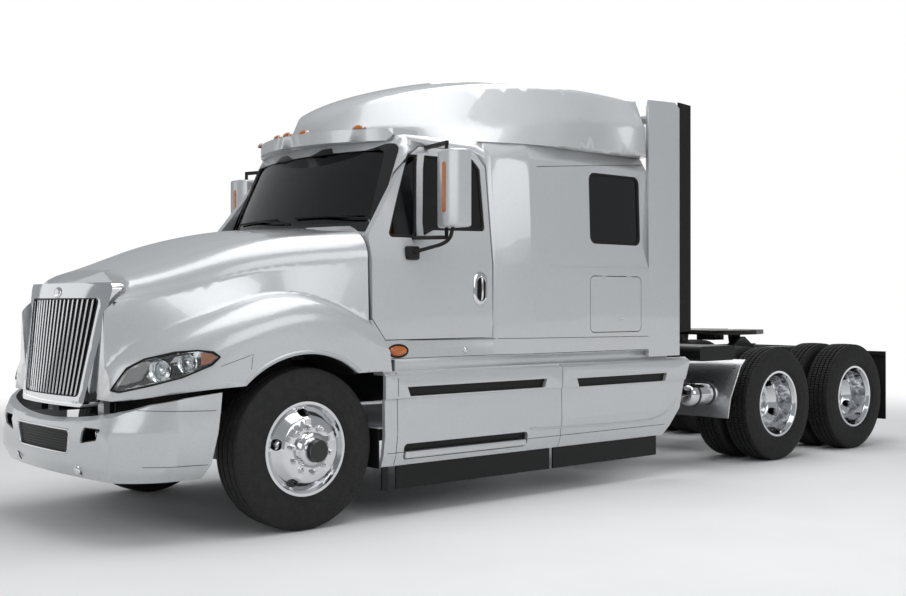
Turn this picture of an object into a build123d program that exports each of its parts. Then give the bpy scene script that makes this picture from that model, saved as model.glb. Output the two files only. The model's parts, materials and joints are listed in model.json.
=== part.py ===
from build123d import *
import math
import os

# Conventional sleeper tractor unit. Millimetres, +Z up, floor at z = 0, the nose points along -Y,
# the driver's side is +X. The origin is on the floor at the middle of the bounding box.
os.makedirs("parts", exist_ok=True)

# Overall layout, measured back from the front axle
nose = -1250
tail = 7090
steer_axle = 0
drive_axle_1 = 5145
drive_axle_2 = 6466
front_axle_y = -(nose + tail) / 2


def back(distance):
    """Place along the truck, measured back from the front axle."""
    return front_axle_y + distance


SIDES = [("left", 1), ("right", -1)]
seat = 0.3                # gap between pieces that rest on each other
move_gap = 6              # clearance beside a piece that moves

# Wheels
axle_z = 515
tyre_r = 515
tyre_w = 280
tread_w = 224
bead_r = 290
rim_lip_r = 299
rim_w = 236
rim_wall = 9
disc_thick = 20
disc_offset = 168         # middle of the rim to the mounting face
pilot_r = 110
steer_x = 1015            # middle of the steer tyre
dual_x = 910              # mounting plane between twin wheels
kingpin_x = 930
drum_r = 208
spindle_r = 38
run_gap = 0.3

# Frame
rail_x = 432              # outer face of each frame rail
rail_h = 270
rail_flange = 88
rail_t = 10
rail_top = 985
rail_front = -980
rail_rear = 7050

# Cab and sleeper body
wall = 60
floor_z = 1055
crease_z = 1710
rail_z = 2500
body_top = 2615
cab_rear = 1655
body_rear = 3300
firewall = 530
# Body sections: place back from the front axle, half width below the crease, half width at the roof rail
BODY = [
    (400, 1124, 905),
    (1620, 1136, 1050),
    (1960, 1190, 1165),
    (body_rear, 1190, 1165),
]

# Windscreen: an arc in plan that leans back along its rake
screen_z0 = 1900
screen_front = 440        # middle of the screen at screen_z0
screen_side = 690         # its ends at screen_z0, at screen_half
screen_half = 1000
screen_rake = 300 / 645   # run back for each unit of rise
glass_t = 6
glass_inset = 8

# Doors
door_front = 531
door_rear = 1606
door_bottom = 1190
door_top = 2530
door_rear_gap = 13

# Hood
hood_wall = 28
hood_rear = 515
hood_gap = 12

# Sleeper side openings
window_y0, window_y1 = 2600, 3200
window_z0, window_z1 = 1895, 2448
luggage_y0, luggage_y1 = 2600, 3200
luggage_z0, luggage_z1 = 1210, 1642

# Chassis fairings
fairing_t = 30
fairing_front = 590
fairing_rear = 3840
fairing_split = 2280
fairing_z0, fairing_z1 = 345, 980
arch_r = 600

# Fifth wheel
plate_y = 5700
plate_top = 1165
plate_t = 45
kingpin_r = 25.7
plate_pivot_z = 1065


def write(piece, name):
    """Label one finished piece and write it out under its name."""
    piece.label = name
    export_step(piece, "parts/" + name + ".step")


def body_block(inset, y_start=400, y_end=body_rear):
    """The cab and sleeper body as one solid, its skin moved in by inset."""
    with BuildPart() as block:
        for y, low, high in BODY:
            with BuildSketch(Plane.XZ.offset(-back(y))):
                with BuildLine():
                    Polyline(
                        (-(low - inset), floor_z + inset),
                        (low - inset, floor_z + inset),
                        (low - inset, crease_z),
                        (high - inset, rail_z),
                        (high - inset - 70, body_top - inset),
                        (-(high - inset - 70), body_top - inset),
                        (-(high - inset), rail_z),
                        (-(low - inset), crease_z),
                        close=True,
                    )
                make_face()
        loft(ruled=True)
        with BuildSketch(Plane.XZ.offset(-back(y_end))):
            Rectangle(4000, 8000)
        extrude(amount=back(y_end) - back(y_start), mode=Mode.INTERSECT)
    return block.part


def screen_block(ahead, z_start=screen_z0, z_end=body_top + 10):
    """Everything behind the raked, curved screen surface, moved forward by ahead."""
    base = back(0) - ahead + (z_start - screen_z0) * screen_rake
    rise = z_end - z_start
    with BuildPart() as block:
        with BuildSketch(Plane.XY.offset(z_start)):
            with BuildLine():
                ThreePointArc(
                    (-screen_half, base + screen_side),
                    (0, base + screen_front),
                    (screen_half, base + screen_side),
                )
                Polyline(
                    (screen_half, base + screen_side),
                    (1400, base + screen_side + 260),
                    (1400, back(body_rear + 1400)),
                    (-1400, back(body_rear + 1400)),
                    (-1400, base + screen_side + 260),
                    (-screen_half, base + screen_side),
                )
            make_face()
        extrude(amount=math.hypot(rise, rise * screen_rake), dir=(0, screen_rake, 1))
    return block.part


def side_prism(outline, x_start, x_end, grow=0.0, radius=0.0):
    """A side-view outline (places back from the front axle, heights) as a bar along X."""
    with BuildPart() as bar:
        with BuildSketch(Plane.YZ.offset(x_start)):
            with BuildLine():
                Polyline(*[(back(y), z) for y, z in outline], close=True)
            make_face()
            if radius:
                fillet(vertices(), radius)
            if grow:
                offset(amount=grow, kind=Kind.INTERSECTION if not radius else Kind.ARC)
        extrude(amount=x_end - x_start)
    return bar.part


def block_at(x0, x1, y0, y1, z0, z1):
    """A plain block between two corners; y is measured back from the front axle."""
    with BuildPart() as block:
        with BuildSketch(Plane.XY.offset(z0)):
            with Locations(((x0 + x1) / 2, (back(y0) + back(y1)) / 2)):
                Rectangle(abs(x1 - x0), abs(y1 - y0))
        extrude(amount=z1 - z0)
    return block.part


def ring(profile, x_middle, y, side):
    """A ring turned about a wheel's axle; the profile is (place out along the axle, radius)."""
    with BuildPart() as turned:
        with BuildSketch(Plane.XZ.offset(-back(y))):
            with BuildLine():
                Polyline(*[(side * (x_middle + a), axle_z + r) for a, r in profile], close=True)
            make_face()
        revolve(axis=Axis((0, back(y), axle_z), (1, 0, 0)))
    return turned.part


# Wheel sections, out along the axle from the middle of the rim
flange_t = 3
bead_x = rim_w / 2 - flange_t - seat
TYRE_SECTION = [
    (-bead_x, bead_r), (-bead_x, rim_lip_r + 2), (-bead_x - 6, rim_lip_r + 4), (-tyre_w / 2,
                                                                                400), (-tyre_w / 2 + 6,
                                                                                       470), (-tread_w / 2,
                                                                                              tyre_r - 4),
    (-tread_w / 4, tyre_r), (tread_w / 4, tyre_r), (tread_w / 2, tyre_r - 4), (tyre_w / 2 - 6, 470),
    (tyre_w / 2, 400), (bead_x + 6, rim_lip_r + 4), (bead_x, rim_lip_r + 2), (bead_x, bead_r),
]


def tyre(x_middle, y, side):
    """One tyre, open at its bead."""
    return ring(TYRE_SECTION, x_middle, y, side)


def rim(x_middle, y, side, face):
    """One disc wheel: barrel, lips and a dished disc, its mounting face turned outwards (+1) or in (-1)."""
    half = rim_w / 2
    outer = bead_r - seat
    inner = outer - rim_wall
    barrel = [
        (-half, rim_lip_r), (-half + flange_t, rim_lip_r), (-half + flange_t, outer), (half - flange_t,
                                                                                       outer),
        (half - flange_t, rim_lip_r), (half, rim_lip_r), (half, inner), (half - 40, inner - 22),
        (-half + 40, inner - 22), (-half, inner),
    ]
    mount = face * disc_offset
    root = face * (half - 30)
    back_face = mount - face * disc_thick
    disc = [
        (root, inner - 12), (mount, 196), (mount, pilot_r), (back_face, pilot_r),
        (back_face, 190), (root - face * disc_thick * 2, inner - 18),
    ]
    with BuildPart() as wheel:
        add(ring(barrel, x_middle, y, side))
        add(ring(disc, x_middle, y, side))
        plane = Plane((side * (x_middle + mount), back(y), axle_z), x_dir=(0, 1, 0),
                      z_dir=(face * side, 0, 0))
        with BuildSketch(plane.offset(-160)):
            with PolarLocations(232, 5, start_angle=97):
                SlotOverall(72, 46, rotation=90)
        extrude(amount=160, mode=Mode.SUBTRACT)
    return wheel.part


def hub(x_mount, y, side, cap_length, bore):
    """Hub barrel, mounting flange and brake drum, turning on a spindle."""
    plane = Plane((side * x_mount, back(y), axle_z), x_dir=(0, 1, 0), z_dir=(side, 0, 0))
    with BuildPart() as barrel:
        for start, length, outer, inner in HUB_RINGS:
            with BuildSketch(plane.offset(start)):
                Circle(outer)
                Circle(max(inner, bore), mode=Mode.SUBTRACT)
            extrude(amount=length)
        with BuildSketch(plane.offset(2 * disc_thick)):
            Circle(78)
        extrude(amount=cap_length, taper=12)
    return barrel.part


# Hub and drum rings: start out from the mounting face, length, outer and inner radius
HUB_RINGS = [
    (-150, 150 + 2 * disc_thick, pilot_r - seat, 0),
    (-disc_thick - seat - 15, 15, 175, 0),
    (-78, 16, drum_r, 0),
    (-222, 150, drum_r, drum_r - 16),
]

for name, side in SIDES:
    x_rim = steer_x
    write(tyre(x_rim, steer_axle, side), "steer_tyre_" + name)
    with BuildPart() as wheel:
        add(rim(x_rim, steer_axle, side, 1))
        add(hub(x_rim + disc_offset, steer_axle, side, 55, spindle_r + run_gap))
    write(wheel.part, "steer_wheel_" + name)
    for axle, y in (("front", drive_axle_1), ("rear", drive_axle_2)):
        outer_x = dual_x + disc_offset + seat / 2
        inner_x = dual_x - disc_offset - seat / 2
        with BuildPart() as pair:
            add(tyre(outer_x, y, side))
            add(tyre(inner_x, y, side))
        write(pair.part, "drive_tyres_" + axle + "_" + name)
        with BuildPart() as wheels:
            add(rim(outer_x, y, side, -1))
            add(rim(inner_x, y, side, 1))
            add(hub(dual_x - seat / 2, y, side, 60, spindle_r + run_gap))
        write(wheels.part, "drive_wheels_" + axle + "_" + name)

# Steering knuckles: yoke round the beam end, kingpin and spindle
beam_eye_r = 45
beam_eye_h = 110
knuckle_gap = 1.0
yoke_t = 36
for name, side in SIDES:
    eye = Plane((side * kingpin_x, back(steer_axle), axle_z), x_dir=(1, 0, 0), z_dir=(0, 0, 1))
    axle_plane = Plane((side * (kingpin_x + 62), back(steer_axle), axle_z), x_dir=(0, 1, 0),
                       z_dir=(side, 0, 0))
    with BuildPart() as knuckle:
        for start in (beam_eye_h / 2 + knuckle_gap, -beam_eye_h / 2 - knuckle_gap - yoke_t):
            with BuildSketch(eye.offset(start)):
                Circle(beam_eye_r)
                with Locations((side * 38, 0)):
                    Rectangle(76, 2 * beam_eye_r)
            extrude(amount=yoke_t)
        with BuildSketch(eye.offset(-beam_eye_h / 2 - knuckle_gap - yoke_t)):
            Circle(20)
        extrude(amount=beam_eye_h + 2 * (knuckle_gap + yoke_t))
        with BuildSketch(axle_plane.offset(-8)):
            Rectangle(2 * beam_eye_r, beam_eye_h + 2 * (knuckle_gap + yoke_t))
        extrude(amount=22)
        with BuildSketch(axle_plane):
            Circle(spindle_r)
        extrude(amount=steer_x + disc_offset - kingpin_x - 62 + 20)
    write(knuckle.part, "knuckle_" + name)

# Front axle: dropped I-beam, its ends bored for the kingpins, and two leaf packs
beam_z = 400
with BuildPart() as front_axle:
    with BuildSketch(Plane.XZ.offset(-back(steer_axle))):
        with BuildLine():
            Polyline(
                (-kingpin_x, axle_z - beam_eye_h / 2), (-kingpin_x + 110, axle_z - beam_eye_h / 2),
                (-560, beam_z - 50), (560, beam_z - 50),
                (kingpin_x - 110, axle_z - beam_eye_h / 2), (kingpin_x, axle_z - beam_eye_h / 2),
                (kingpin_x, axle_z + beam_eye_h / 2), (kingpin_x - 110, axle_z + beam_eye_h / 2),
                (540, beam_z + 60), (-540, beam_z + 60),
                (-kingpin_x + 110, axle_z + beam_eye_h / 2), (-kingpin_x, axle_z + beam_eye_h / 2),
                close=True,
            )
        make_face()
    extrude(amount=45, both=True)
    with BuildSketch(Plane.XY.offset(axle_z - beam_eye_h / 2)):
        with Locations((-kingpin_x, back(steer_axle)), (kingpin_x, back(steer_axle))):
            Circle(beam_eye_r)
    extrude(amount=beam_eye_h)
    with BuildSketch(Plane.XY.offset(axle_z - beam_eye_h / 2)):
        with Locations((-kingpin_x, back(steer_axle)), (kingpin_x, back(steer_axle))):
            Circle(20 + run_gap)
    extrude(amount=beam_eye_h, mode=Mode.SUBTRACT)
    for side in (-1, 1):
        add(side_prism(
            [(-720, 700), (-720, 668), (-60, beam_z + 60), (60, beam_z + 60), (720, 668), (720, 700),
             (640, 700), (60, beam_z + 110), (-60, beam_z + 110), (-640, 700)],
            side * 390 - 38, side * 390 + 38))
        for end in (-720, 690):
            add(block_at(side * 390 - 38, side * 390 + 38, end, end + 30, 668, rail_top - rail_h - seat))
write(front_axle.part, "front_axle")

# Frame rails: two C sections, and the pieces between them
with BuildPart() as frame_rails:
    for side in (-1, 1):
        with BuildSketch(Plane.XZ.offset(-back(rail_front))):
            with BuildLine():
                Polyline(*[(side * x, z) for x, z in [
                    (rail_x, rail_top), (rail_x - rail_flange, rail_top), (rail_x - rail_flange,
                                                                           rail_top - rail_t),
                    (rail_x - rail_t, rail_top - rail_t), (rail_x - rail_t, rail_top - rail_h + rail_t),
                    (rail_x - rail_flange, rail_top - rail_h + rail_t), (rail_x - rail_flange,
                                                                         rail_top - rail_h),
                    (rail_x, rail_top - rail_h)]], close=True)
            make_face()
        extrude(amount=-(rail_rear - rail_front))
write(frame_rails.part, "frame_rails")

CROSSMEMBERS = [-940, 1500, 2350, 3200, 4250, 5000, 5800, 6620, 6990]
cross_x = rail_x - rail_t - seat
cross_h = 90
with BuildPart() as crossmembers:
    for y in CROSSMEMBERS:
        with BuildSketch(Plane.XZ.offset(-back(y - 30))):
            with Locations((0, rail_top - rail_t - seat - cross_h / 2)):
                Rectangle(2 * cross_x, cross_h)
        extrude(amount=-60)
    for y in (700, 1400, 2300, 3150):
        for side in (-1, 1):
            add(block_at(side * rail_x - 60 if side > 0 else side * rail_x - 0,
                         side * rail_x if side > 0 else side * rail_x + 60,
                         y, y + 90, rail_top + seat, floor_z - seat))
write(crossmembers.part, "crossmembers")

# Drive axles and their suspension
drum_back = 222
with BuildPart() as drive_axles:
    for y in (drive_axle_1, drive_axle_2):
        plane = Plane((0, back(y), axle_z), x_dir=(0, 1, 0), z_dir=(1, 0, 0))
        with BuildSketch(plane):
            Circle(62)
        extrude(amount=dual_x - drum_back + 40, both=True)
        with BuildSketch(plane):
            Circle(spindle_r)
        extrude(amount=dual_x + 20, both=True)
        add(ring([(-150, 30), (-150, 60), (-95, 150), (-45, 190), (45, 190), (95, 150), (150, 60),
                  (150, 30)],
                 0, y, 1))
        with BuildSketch(Plane.XZ.offset(-back(y - 130))):
            with Locations((0, axle_z + 40)):
                Circle(95)
        extrude(amount=150)
write(drive_axles.part, "drive_axles")

arm_x = 390
bag_r = 125
with BuildPart() as suspension:
    for y in (drive_axle_1, drive_axle_2):
        for side in (-1, 1):
            add(side_prism(
                [(y - 560, 640), (y - 500, 560), (y - 90, axle_z + 62 + seat), (y + 90, axle_z + 62 + seat),
                 (y + 480, axle_z + 20), (y + 480, axle_z + 60), (y + 100, axle_z + 120),
                 (y - 90, axle_z + 120), (y - 480, 640)],
                side * arm_x - 38, side * arm_x + 38))
            add(block_at(side * arm_x - 38, side * arm_x + 38, y - 570, y - 470, 600,
                         rail_top - rail_h - seat))
            with BuildSketch(Plane.XY.offset(axle_z + 55)):
                with Locations((side * arm_x, back(y + 340))):
                    Circle(bag_r)
            extrude(amount=rail_top - rail_h - seat - axle_z - 55)
write(suspension.part, "bogie_suspension")

# Engine and gearbox as plain blocks, radiator, drive shafts
engine_w = 640
with BuildPart() as engine:
    add(block_at(-engine_w / 2, engine_w / 2, -620, 430, 640, 1480))
    fillet(engine.edges().filter_by(Axis.Y), 60)
    add(block_at(-230, 230, 429, 640, 700, 1010))
    add(block_at(-180, 180, 639, 1380, 720, 1000))
    for side in (-1, 1):
        add(block_at(min(side * 300, side * (rail_x - rail_t - seat)),
                     max(side * 300, side * (rail_x - rail_t - seat)),
                     -60, 60, rail_top - 200, rail_top - rail_t - 20))
write(engine.part, "engine")

with BuildPart() as radiator:
    add(block_at(-410, 410, -880, -770, rail_top + seat, 1480))
    add(block_at(-430, 430, -890, -760, 1440, 1500))
write(radiator.part, "radiator")

shaft_r = 52
pinion_len = 280
diff_half = 190
SHAFT_RUNS = [
    (1380 + seat, 800, drive_axle_1 - pinion_len - seat, 556),
    (drive_axle_1 + diff_half + seat, 540, drive_axle_2 - pinion_len - seat, 556),
]
with BuildPart() as drive_shafts:
    for y0, z0, y1, z1 in SHAFT_RUNS:
        length = math.hypot(y1 - y0, z1 - z0)
        along = Plane((0, back(y0), z0), x_dir=(1, 0, 0), z_dir=(0, y1 - y0, z1 - z0))
        with BuildSketch(along.offset(-20)):
            Circle(shaft_r)
        extrude(amount=length + 40)
        add(block_at(-100, 100, y0 - 100, y0, 300, 1100), mode=Mode.SUBTRACT)
        add(block_at(-100, 100, y1, y1 + 100, 300, 1100), mode=Mode.SUBTRACT)
write(drive_shafts.part, "drive_shafts")

# Cab and sleeper: one skin, split behind the doors, with a wall as thick as the doors
DOOR_OUTLINE = [
    (door_front, 1335), (door_front, 1880), (660, 2050), (960, door_top - 70), (1060, door_top),
    (door_rear - 90, door_top), (door_rear, door_top - 110), (door_rear, door_bottom), (640, door_bottom),
]
DOOR_CUT = [
    (door_front - 300, 1335 - move_gap), (door_front - 300, 1880 + move_gap), (door_front - move_gap,
                                                                               1880 + move_gap),
    (654, 2056), (953, door_top - 60), (1056, door_top + move_gap), (door_rear - 82, door_top + move_gap),
    (door_rear + door_rear_gap, door_top - 104), (door_rear + door_rear_gap, door_bottom - move_gap),
    (637, door_bottom - move_gap), (door_front - move_gap, 1335 - move_gap),
]
PASSAGE = [
    (680, 1380), (680, 1990), (1000, door_top - 60), (door_rear - 70, door_top - 60), (door_rear - 50,
                                                                                       door_top - 140),
    (door_rear - 50, door_bottom + 50), (760, door_bottom + 50),
]
DOOR_WINDOW = [(690, 1880), (950, 2470), (1500, 2470), (1560, 2400), (1560, 1950), (1090, 1940),
               (960, 1880)]
jamb_gap = 9              # clearance behind the swinging inner edge of a door
body_skin = body_block(0)
body_room = body_block(wall)
body_gap = body_block(wall + jamb_gap)
jamb_room = body_block(wall + 45)


def ahead_of_screen(ahead):
    """The space in front of the screen surface, moved forward by ahead."""
    with BuildPart() as space:
        add(block_at(-1500, 1500, 100, 1500, screen_z0, body_top + 5))
        add(screen_block(ahead), mode=Mode.SUBTRACT)
    return space.part


def wall_layer(outline, skin, core, side, grow=0.0, radius=0.0):
    """The layer of the body between skin and core inside a side-view outline, on one side."""
    x_start, x_end = (700, 1400) if side > 0 else (-1400, -700)
    with BuildPart() as layer:
        add(side_prism(outline, x_start, x_end, grow, radius))
        add(skin, mode=Mode.INTERSECT)
        add(core, mode=Mode.SUBTRACT)
    return layer.part


SCREEN_OUTLINE = [(-925, 1965), (925, 1965), (842, 2515), (-842, 2515)]


def front_prism(outline, y_start, y_end, grow=0.0, radius=0.0):
    """A front-view outline (x, z) as a bar along Y."""
    with BuildPart() as bar:
        with BuildSketch(Plane.XZ.offset(-back(y_start))):
            with BuildLine():
                Polyline(*outline, close=True)
            make_face()
            if radius:
                fillet(vertices(), radius)
            if grow:
                offset(amount=grow)
        extrude(amount=-(y_end - y_start))
    return bar.part


with BuildPart() as cab_room:
    add(body_room)
    add(block_at(-1500, 1500, 300, firewall + wall, 900, screen_z0), mode=Mode.SUBTRACT)
    add(ahead_of_screen(-wall), mode=Mode.SUBTRACT)

LOW_FRONT = block_at(-1500, 1500, 300, firewall, 900, screen_z0)


def door_jamb(side):
    """The frame inside a doorway, standing in from the wall."""
    with BuildPart() as jamb:
        add(wall_layer(DOOR_OUTLINE, body_room, jamb_room, side, grow=38))
        add(LOW_FRONT, mode=Mode.SUBTRACT)
        add(ahead_of_screen(-4), mode=Mode.SUBTRACT)
        add(block_at(-960, 960, 0, 2000, 900, 1300), mode=Mode.SUBTRACT)
    return jamb.part


JAMBS = [door_jamb(side) for name, side in SIDES]
DOORWAYS = [wall_layer(DOOR_CUT, body_block(-20), body_gap, side) for name, side in SIDES]
with BuildPart() as cab_shell:
    add(body_skin)
    add(LOW_FRONT, mode=Mode.SUBTRACT)
    add(ahead_of_screen(0), mode=Mode.SUBTRACT)
    add(block_at(-1500, 1500, cab_rear, body_rear + 10, 900, 2700), mode=Mode.SUBTRACT)
    add(cab_room.part, mode=Mode.SUBTRACT)
    add(JAMBS)
    add(DOORWAYS, mode=Mode.SUBTRACT)
    for name, side in SIDES:
        add(side_prism(PASSAGE, *sorted((side * 600, side * 1400))), mode=Mode.SUBTRACT)
    add(front_prism(SCREEN_OUTLINE, 300, 1150, radius=60), mode=Mode.SUBTRACT)
write(cab_shell.part, "cab_shell")

# Windscreen, curved in plan and set into the cab's front wall
with BuildPart() as windscreen:
    add(front_prism(SCREEN_OUTLINE, 300, 1150, grow=-seat, radius=60))
    add(screen_block(-glass_inset), mode=Mode.INTERSECT)
    add(screen_block(-glass_inset - 8), mode=Mode.SUBTRACT)
write(windscreen.part, "windscreen")

# Doors with their glass
glass_skin = body_block(14)
glass_core = body_block(14 + glass_t)
for name, side in SIDES:
    with BuildPart() as door:
        add(wall_layer(DOOR_OUTLINE, body_skin, body_room, side))
        add(side_prism(DOOR_WINDOW, *sorted((side * 600, side * 1400)), radius=25), mode=Mode.SUBTRACT)
    write(door.part, "door_" + name)
    write(wall_layer(DOOR_WINDOW, glass_skin, glass_core, side, grow=-seat, radius=25),
          "door_glass_" + name)

# Mirrors: a tall housing held off the door by an upper and a lower arm
mirror_x0, mirror_x1 = 1225, 1474
mirror_y = 1040
mirror_z0, mirror_z1 = 1945, 2470
arm_r = 13
for name, side in SIDES:
    with BuildPart() as mirror:
        with BuildSketch(Plane.XY.offset(mirror_z0)):
            with BuildLine():
                Polyline(*[(side * x, back(y)) for x, y in [
                    (mirror_x0, mirror_y + 55), (mirror_x0, mirror_y - 30), (mirror_x0 + 60, mirror_y - 75),
                    (mirror_x1 - 60, mirror_y - 75), (mirror_x1, mirror_y - 20), (mirror_x1,
                                                                                  mirror_y + 55)]],
                    close=True)
            make_face()
        extrude(amount=mirror_z1 - mirror_z0)
        fillet(mirror.edges().group_by(Axis.Z)[0] + mirror.edges().group_by(Axis.Z)[-1], 18)
        for z, x_skin, y_root in ((mirror_z0 - 65, 1094, 900), (mirror_z1 + 55, 955, 1120)):
            with BuildSketch(Plane.XY.offset(z - arm_r)):
                with Locations(((side * (x_skin + mirror_x0 + 70) / 2),
                                (back(y_root) + back(mirror_y)) / 2)):
                    SlotOverall(math.hypot(mirror_x0 + 70 - x_skin, mirror_y - y_root) + 10, 2 * arm_r,
                                rotation=side * math.degrees(math.atan2(mirror_y - y_root,
                                                                        mirror_x0 + 70 - x_skin)))
            extrude(amount=2 * arm_r)
        for z0, z1 in ((mirror_z0 - 65, mirror_z0 + 30), (mirror_z1 - 30, mirror_z1 + 55)):
            with BuildSketch(Plane.XY.offset(z0)):
                with Locations((side * (mirror_x0 + 60), back(mirror_y))):
                    Circle(arm_r)
            extrude(amount=z1 - z0)
        add(body_block(-seat), mode=Mode.SUBTRACT)
    write(mirror.part.solids().sort_by(SortBy.VOLUME)[-1], "mirror_" + name)

# Sleeper: hollow, with side windows and luggage doors
LUGGAGE = [(luggage_y0, luggage_z0), (luggage_y1, luggage_z0), (luggage_y1, luggage_z1),
           (luggage_y0, luggage_z1)]
WINDOW = [(window_y0, window_z0), (window_y1, window_z0), (window_y1, window_z1), (window_y0, window_z1)]
with BuildPart() as sleeper_shell:
    add(body_skin)
    add(block_at(-1500, 1500, 300, cab_rear + seat, 900, 2700), mode=Mode.SUBTRACT)
    add(body_block(wall, 400, body_rear - wall), mode=Mode.SUBTRACT)
    for name, side in SIDES:
        through = sorted((side * 900, side * 1400))
        add(side_prism(WINDOW, *through, radius=60), mode=Mode.SUBTRACT)
        add(side_prism(LUGGAGE, *through, grow=move_gap, radius=40), mode=Mode.SUBTRACT)
    add(DOORWAYS, mode=Mode.SUBTRACT)
write(sleeper_shell.part, "sleeper_shell")

with BuildPart() as sleeper_glass:
    for name, side in SIDES:
        add(wall_layer(WINDOW, glass_skin, glass_core, side, grow=-seat, radius=60))
write(sleeper_glass.part, "sleeper_glass")
for name, side in SIDES:
    with BuildPart() as lid:
        add(wall_layer(LUGGAGE, body_skin, body_room, side, radius=40))
        for y in (window_y0 + 120, window_y1 - 180):
            with BuildSketch(Plane.XZ.offset(-back(y))):
                with Locations((side * BODY[-1][1], luggage_z1)):
                    Circle(move_gap - seat)
            extrude(amount=-60)
    write(lid.part, "luggage_door_" + name)

# Inside: floor-standing seats, dashboard with steering wheel, bunk
with BuildPart() as seats:
    for x in (-480, 480):
        add(block_at(x - 255, x + 255, 1120, 1600, floor_z + wall + 260, floor_z + wall + 420))
        add(block_at(x - 250, x + 250, 1480, 1600, floor_z + wall + 400, floor_z + wall + 1050))
        add(block_at(x - 180, x + 180, 1180, 1540, floor_z + wall + seat, floor_z + wall + 270))
write(seats.part, "seats")

bunk_y0 = 2450
with BuildPart() as bunk:
    add(block_at(-1080, 1080, bunk_y0, body_rear - wall - seat, 1708, 1860))
    fillet(bunk.edges().filter_by(Axis.Z), 40)
    bunk_half = BODY[-1][1] - wall - seat
    add(block_at(-bunk_half, bunk_half, bunk_y0 + 20, body_rear - wall - seat, 1690, 1709))
    add(block_at(-20, 20, bunk_y0 + 20, body_rear - wall - seat, floor_z + wall + seat, 1691))
write(bunk.part, "bunk")

wheel_x = 480
with BuildPart() as dashboard:
    add(side_prism([(600 + seat, 1500), (600 + seat, 1885), (840, 1885), (900, 1800), (860, 1560),
                    (760, 1500)],
                   -960, 960))
    add(screen_block(-wall - seat, z_start=1400), mode=Mode.INTERSECT)
    for x in (-900, 900):
        add(block_at(x - 30, x + 30, 592, 700, floor_z + wall + seat, 1501))
    column = Plane((wheel_x, back(850), 1700), x_dir=(1, 0, 0), z_dir=(0, 0.62, 0.78))
    with BuildSketch(column):
        Circle(30)
    extrude(amount=170)
    with BuildSketch(column.offset(160)):
        Circle(225)
        Circle(203, mode=Mode.SUBTRACT)
        Rectangle(420, 36)
        with Locations((0, -105)):
            Rectangle(36, 205)
        Circle(60)
    extrude(amount=22)
write(dashboard.part, "dashboard")

# Roof fairing: lofted from half sections that widen from a rounded nose
# Columns: back from the front axle, foot half width, shelf half width and height, shoulder half width and
# height, height at the middle
ROOF = [
    (775, 170, 160, 2672, 90, 2700, 2722),
    (900, 420, 405, 2690, 300, 2840, 2880),
    (1100, 620, 600, 2710, 480, 2935, 2985),
    (1450, 900, 830, 2735, 690, 3020, 3100),
    (1850, 1075, 990, 2760, 850, 3080, 3190),
    (2150, 1150, 1100, 2790, 945, 3098, 3230),
    (2500, 1165, 1145, 2830, 1000, 3105, 3250),
    (2900, 1165, 1150, 2850, 1030, 3100, 3245),
    (body_rear, 1165, 1150, 2860, 1050, 3090, 3225),
]
visor_top = 2662
visor_back = 1150
with BuildPart() as roof_fairing:
    for y, foot, shelf, shelf_z, shoulder, shoulder_z, peak in ROOF:
        with BuildSketch(Plane.XZ.offset(-back(y))):
            with BuildLine():
                Polyline((-shoulder, shoulder_z), (-shelf, shelf_z), (-foot, body_top + seat),
                         (foot, body_top + seat),
                         (shelf, shelf_z), (shoulder, shoulder_z))
                ThreePointArc((shoulder, shoulder_z), (0, peak), (-shoulder, shoulder_z))
            make_face()
    loft()
    add(block_at(-1500, 1500, 300, visor_back + seat, 2500, visor_top + seat), mode=Mode.SUBTRACT)
write(roof_fairing.part, "roof_fairing")

# Sun visor: a curved blade ahead of the screen top, with five marker lamps
MARKERS = [(-642, 780), (-171, 632), (0, 607), (171, 632), (642, 780)]
with BuildPart() as sun_visor:
    with BuildSketch(Plane.XY.offset(2575)):
        with BuildLine():
            ThreePointArc((-840, back(930)), (0, back(598)), (840, back(930)))
            Line((840, back(930)), (-840, back(930)))
        make_face()
    extrude(amount=visor_top - 2575)
    add(screen_block(seat), mode=Mode.SUBTRACT)
    with BuildSketch(Plane.XY.offset(body_top + seat)):
        with BuildLine():
            ThreePointArc((-840, back(930)), (0, back(598)), (840, back(930)))
            Polyline((840, back(930)), (840, back(visor_back)), (-840, back(visor_back)), (-840, back(930)))
        make_face()
    extrude(amount=visor_top - body_top - seat)
    for x, y in MARKERS:
        with BuildSketch(Plane.XY.offset(visor_top - 1)):
            with Locations((x, back(y + 2))):
                SlotOverall(110, 44, rotation=math.degrees(math.atan2(x * 0.42, 640)))
        extrude(amount=22, taper=20)
write(sun_visor.part, "sun_visor")

# Hood: lofted half sections from the nose to the cowl
# Columns: back from the front axle; then half width and height of the foot, outer shoulder, fender top,
# valley,
# side crease, upper shoulder, shoulder's inner end and ridge; height at the middle
HOOD = [
    (-1120, 740, 850, 735, 900, 705, 985, 655, 1040, 625, 1420, 600, 1490, 520, 1535, 400, 1558, 1585),
    (-1050, 840, 860, 838, 940, 790, 1060, 700, 1130, 640, 1440, 615, 1520, 530, 1568, 410, 1590, 1615),
    (-800, 1020, 900, 1015, 1060, 945, 1215, 835, 1280, 705, 1480, 675, 1585, 585, 1640, 455, 1668, 1692),
    (-450, 1125, 930, 1122, 1180, 1050, 1355, 930, 1418, 815, 1575, 780, 1695, 680, 1760, 515, 1790, 1815),
    (0, 1175, 960, 1172, 1310, 1100, 1455, 990, 1496, 945, 1665, 905, 1800, 790, 1865, 590, 1898, 1932),
    (350, 1178, 980, 1176, 1230, 1140, 1345, 1070, 1395, 1050, 1699, 1008, 1838, 870, 1905, 618, 1930,
     1966),
    (660, 1178, 980, 1177, 1090, 1160, 1200, 1118, 1265, 1108, 1705, 1060, 1860, 900, 1925, 640, 1945,
     1980),
]


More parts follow.
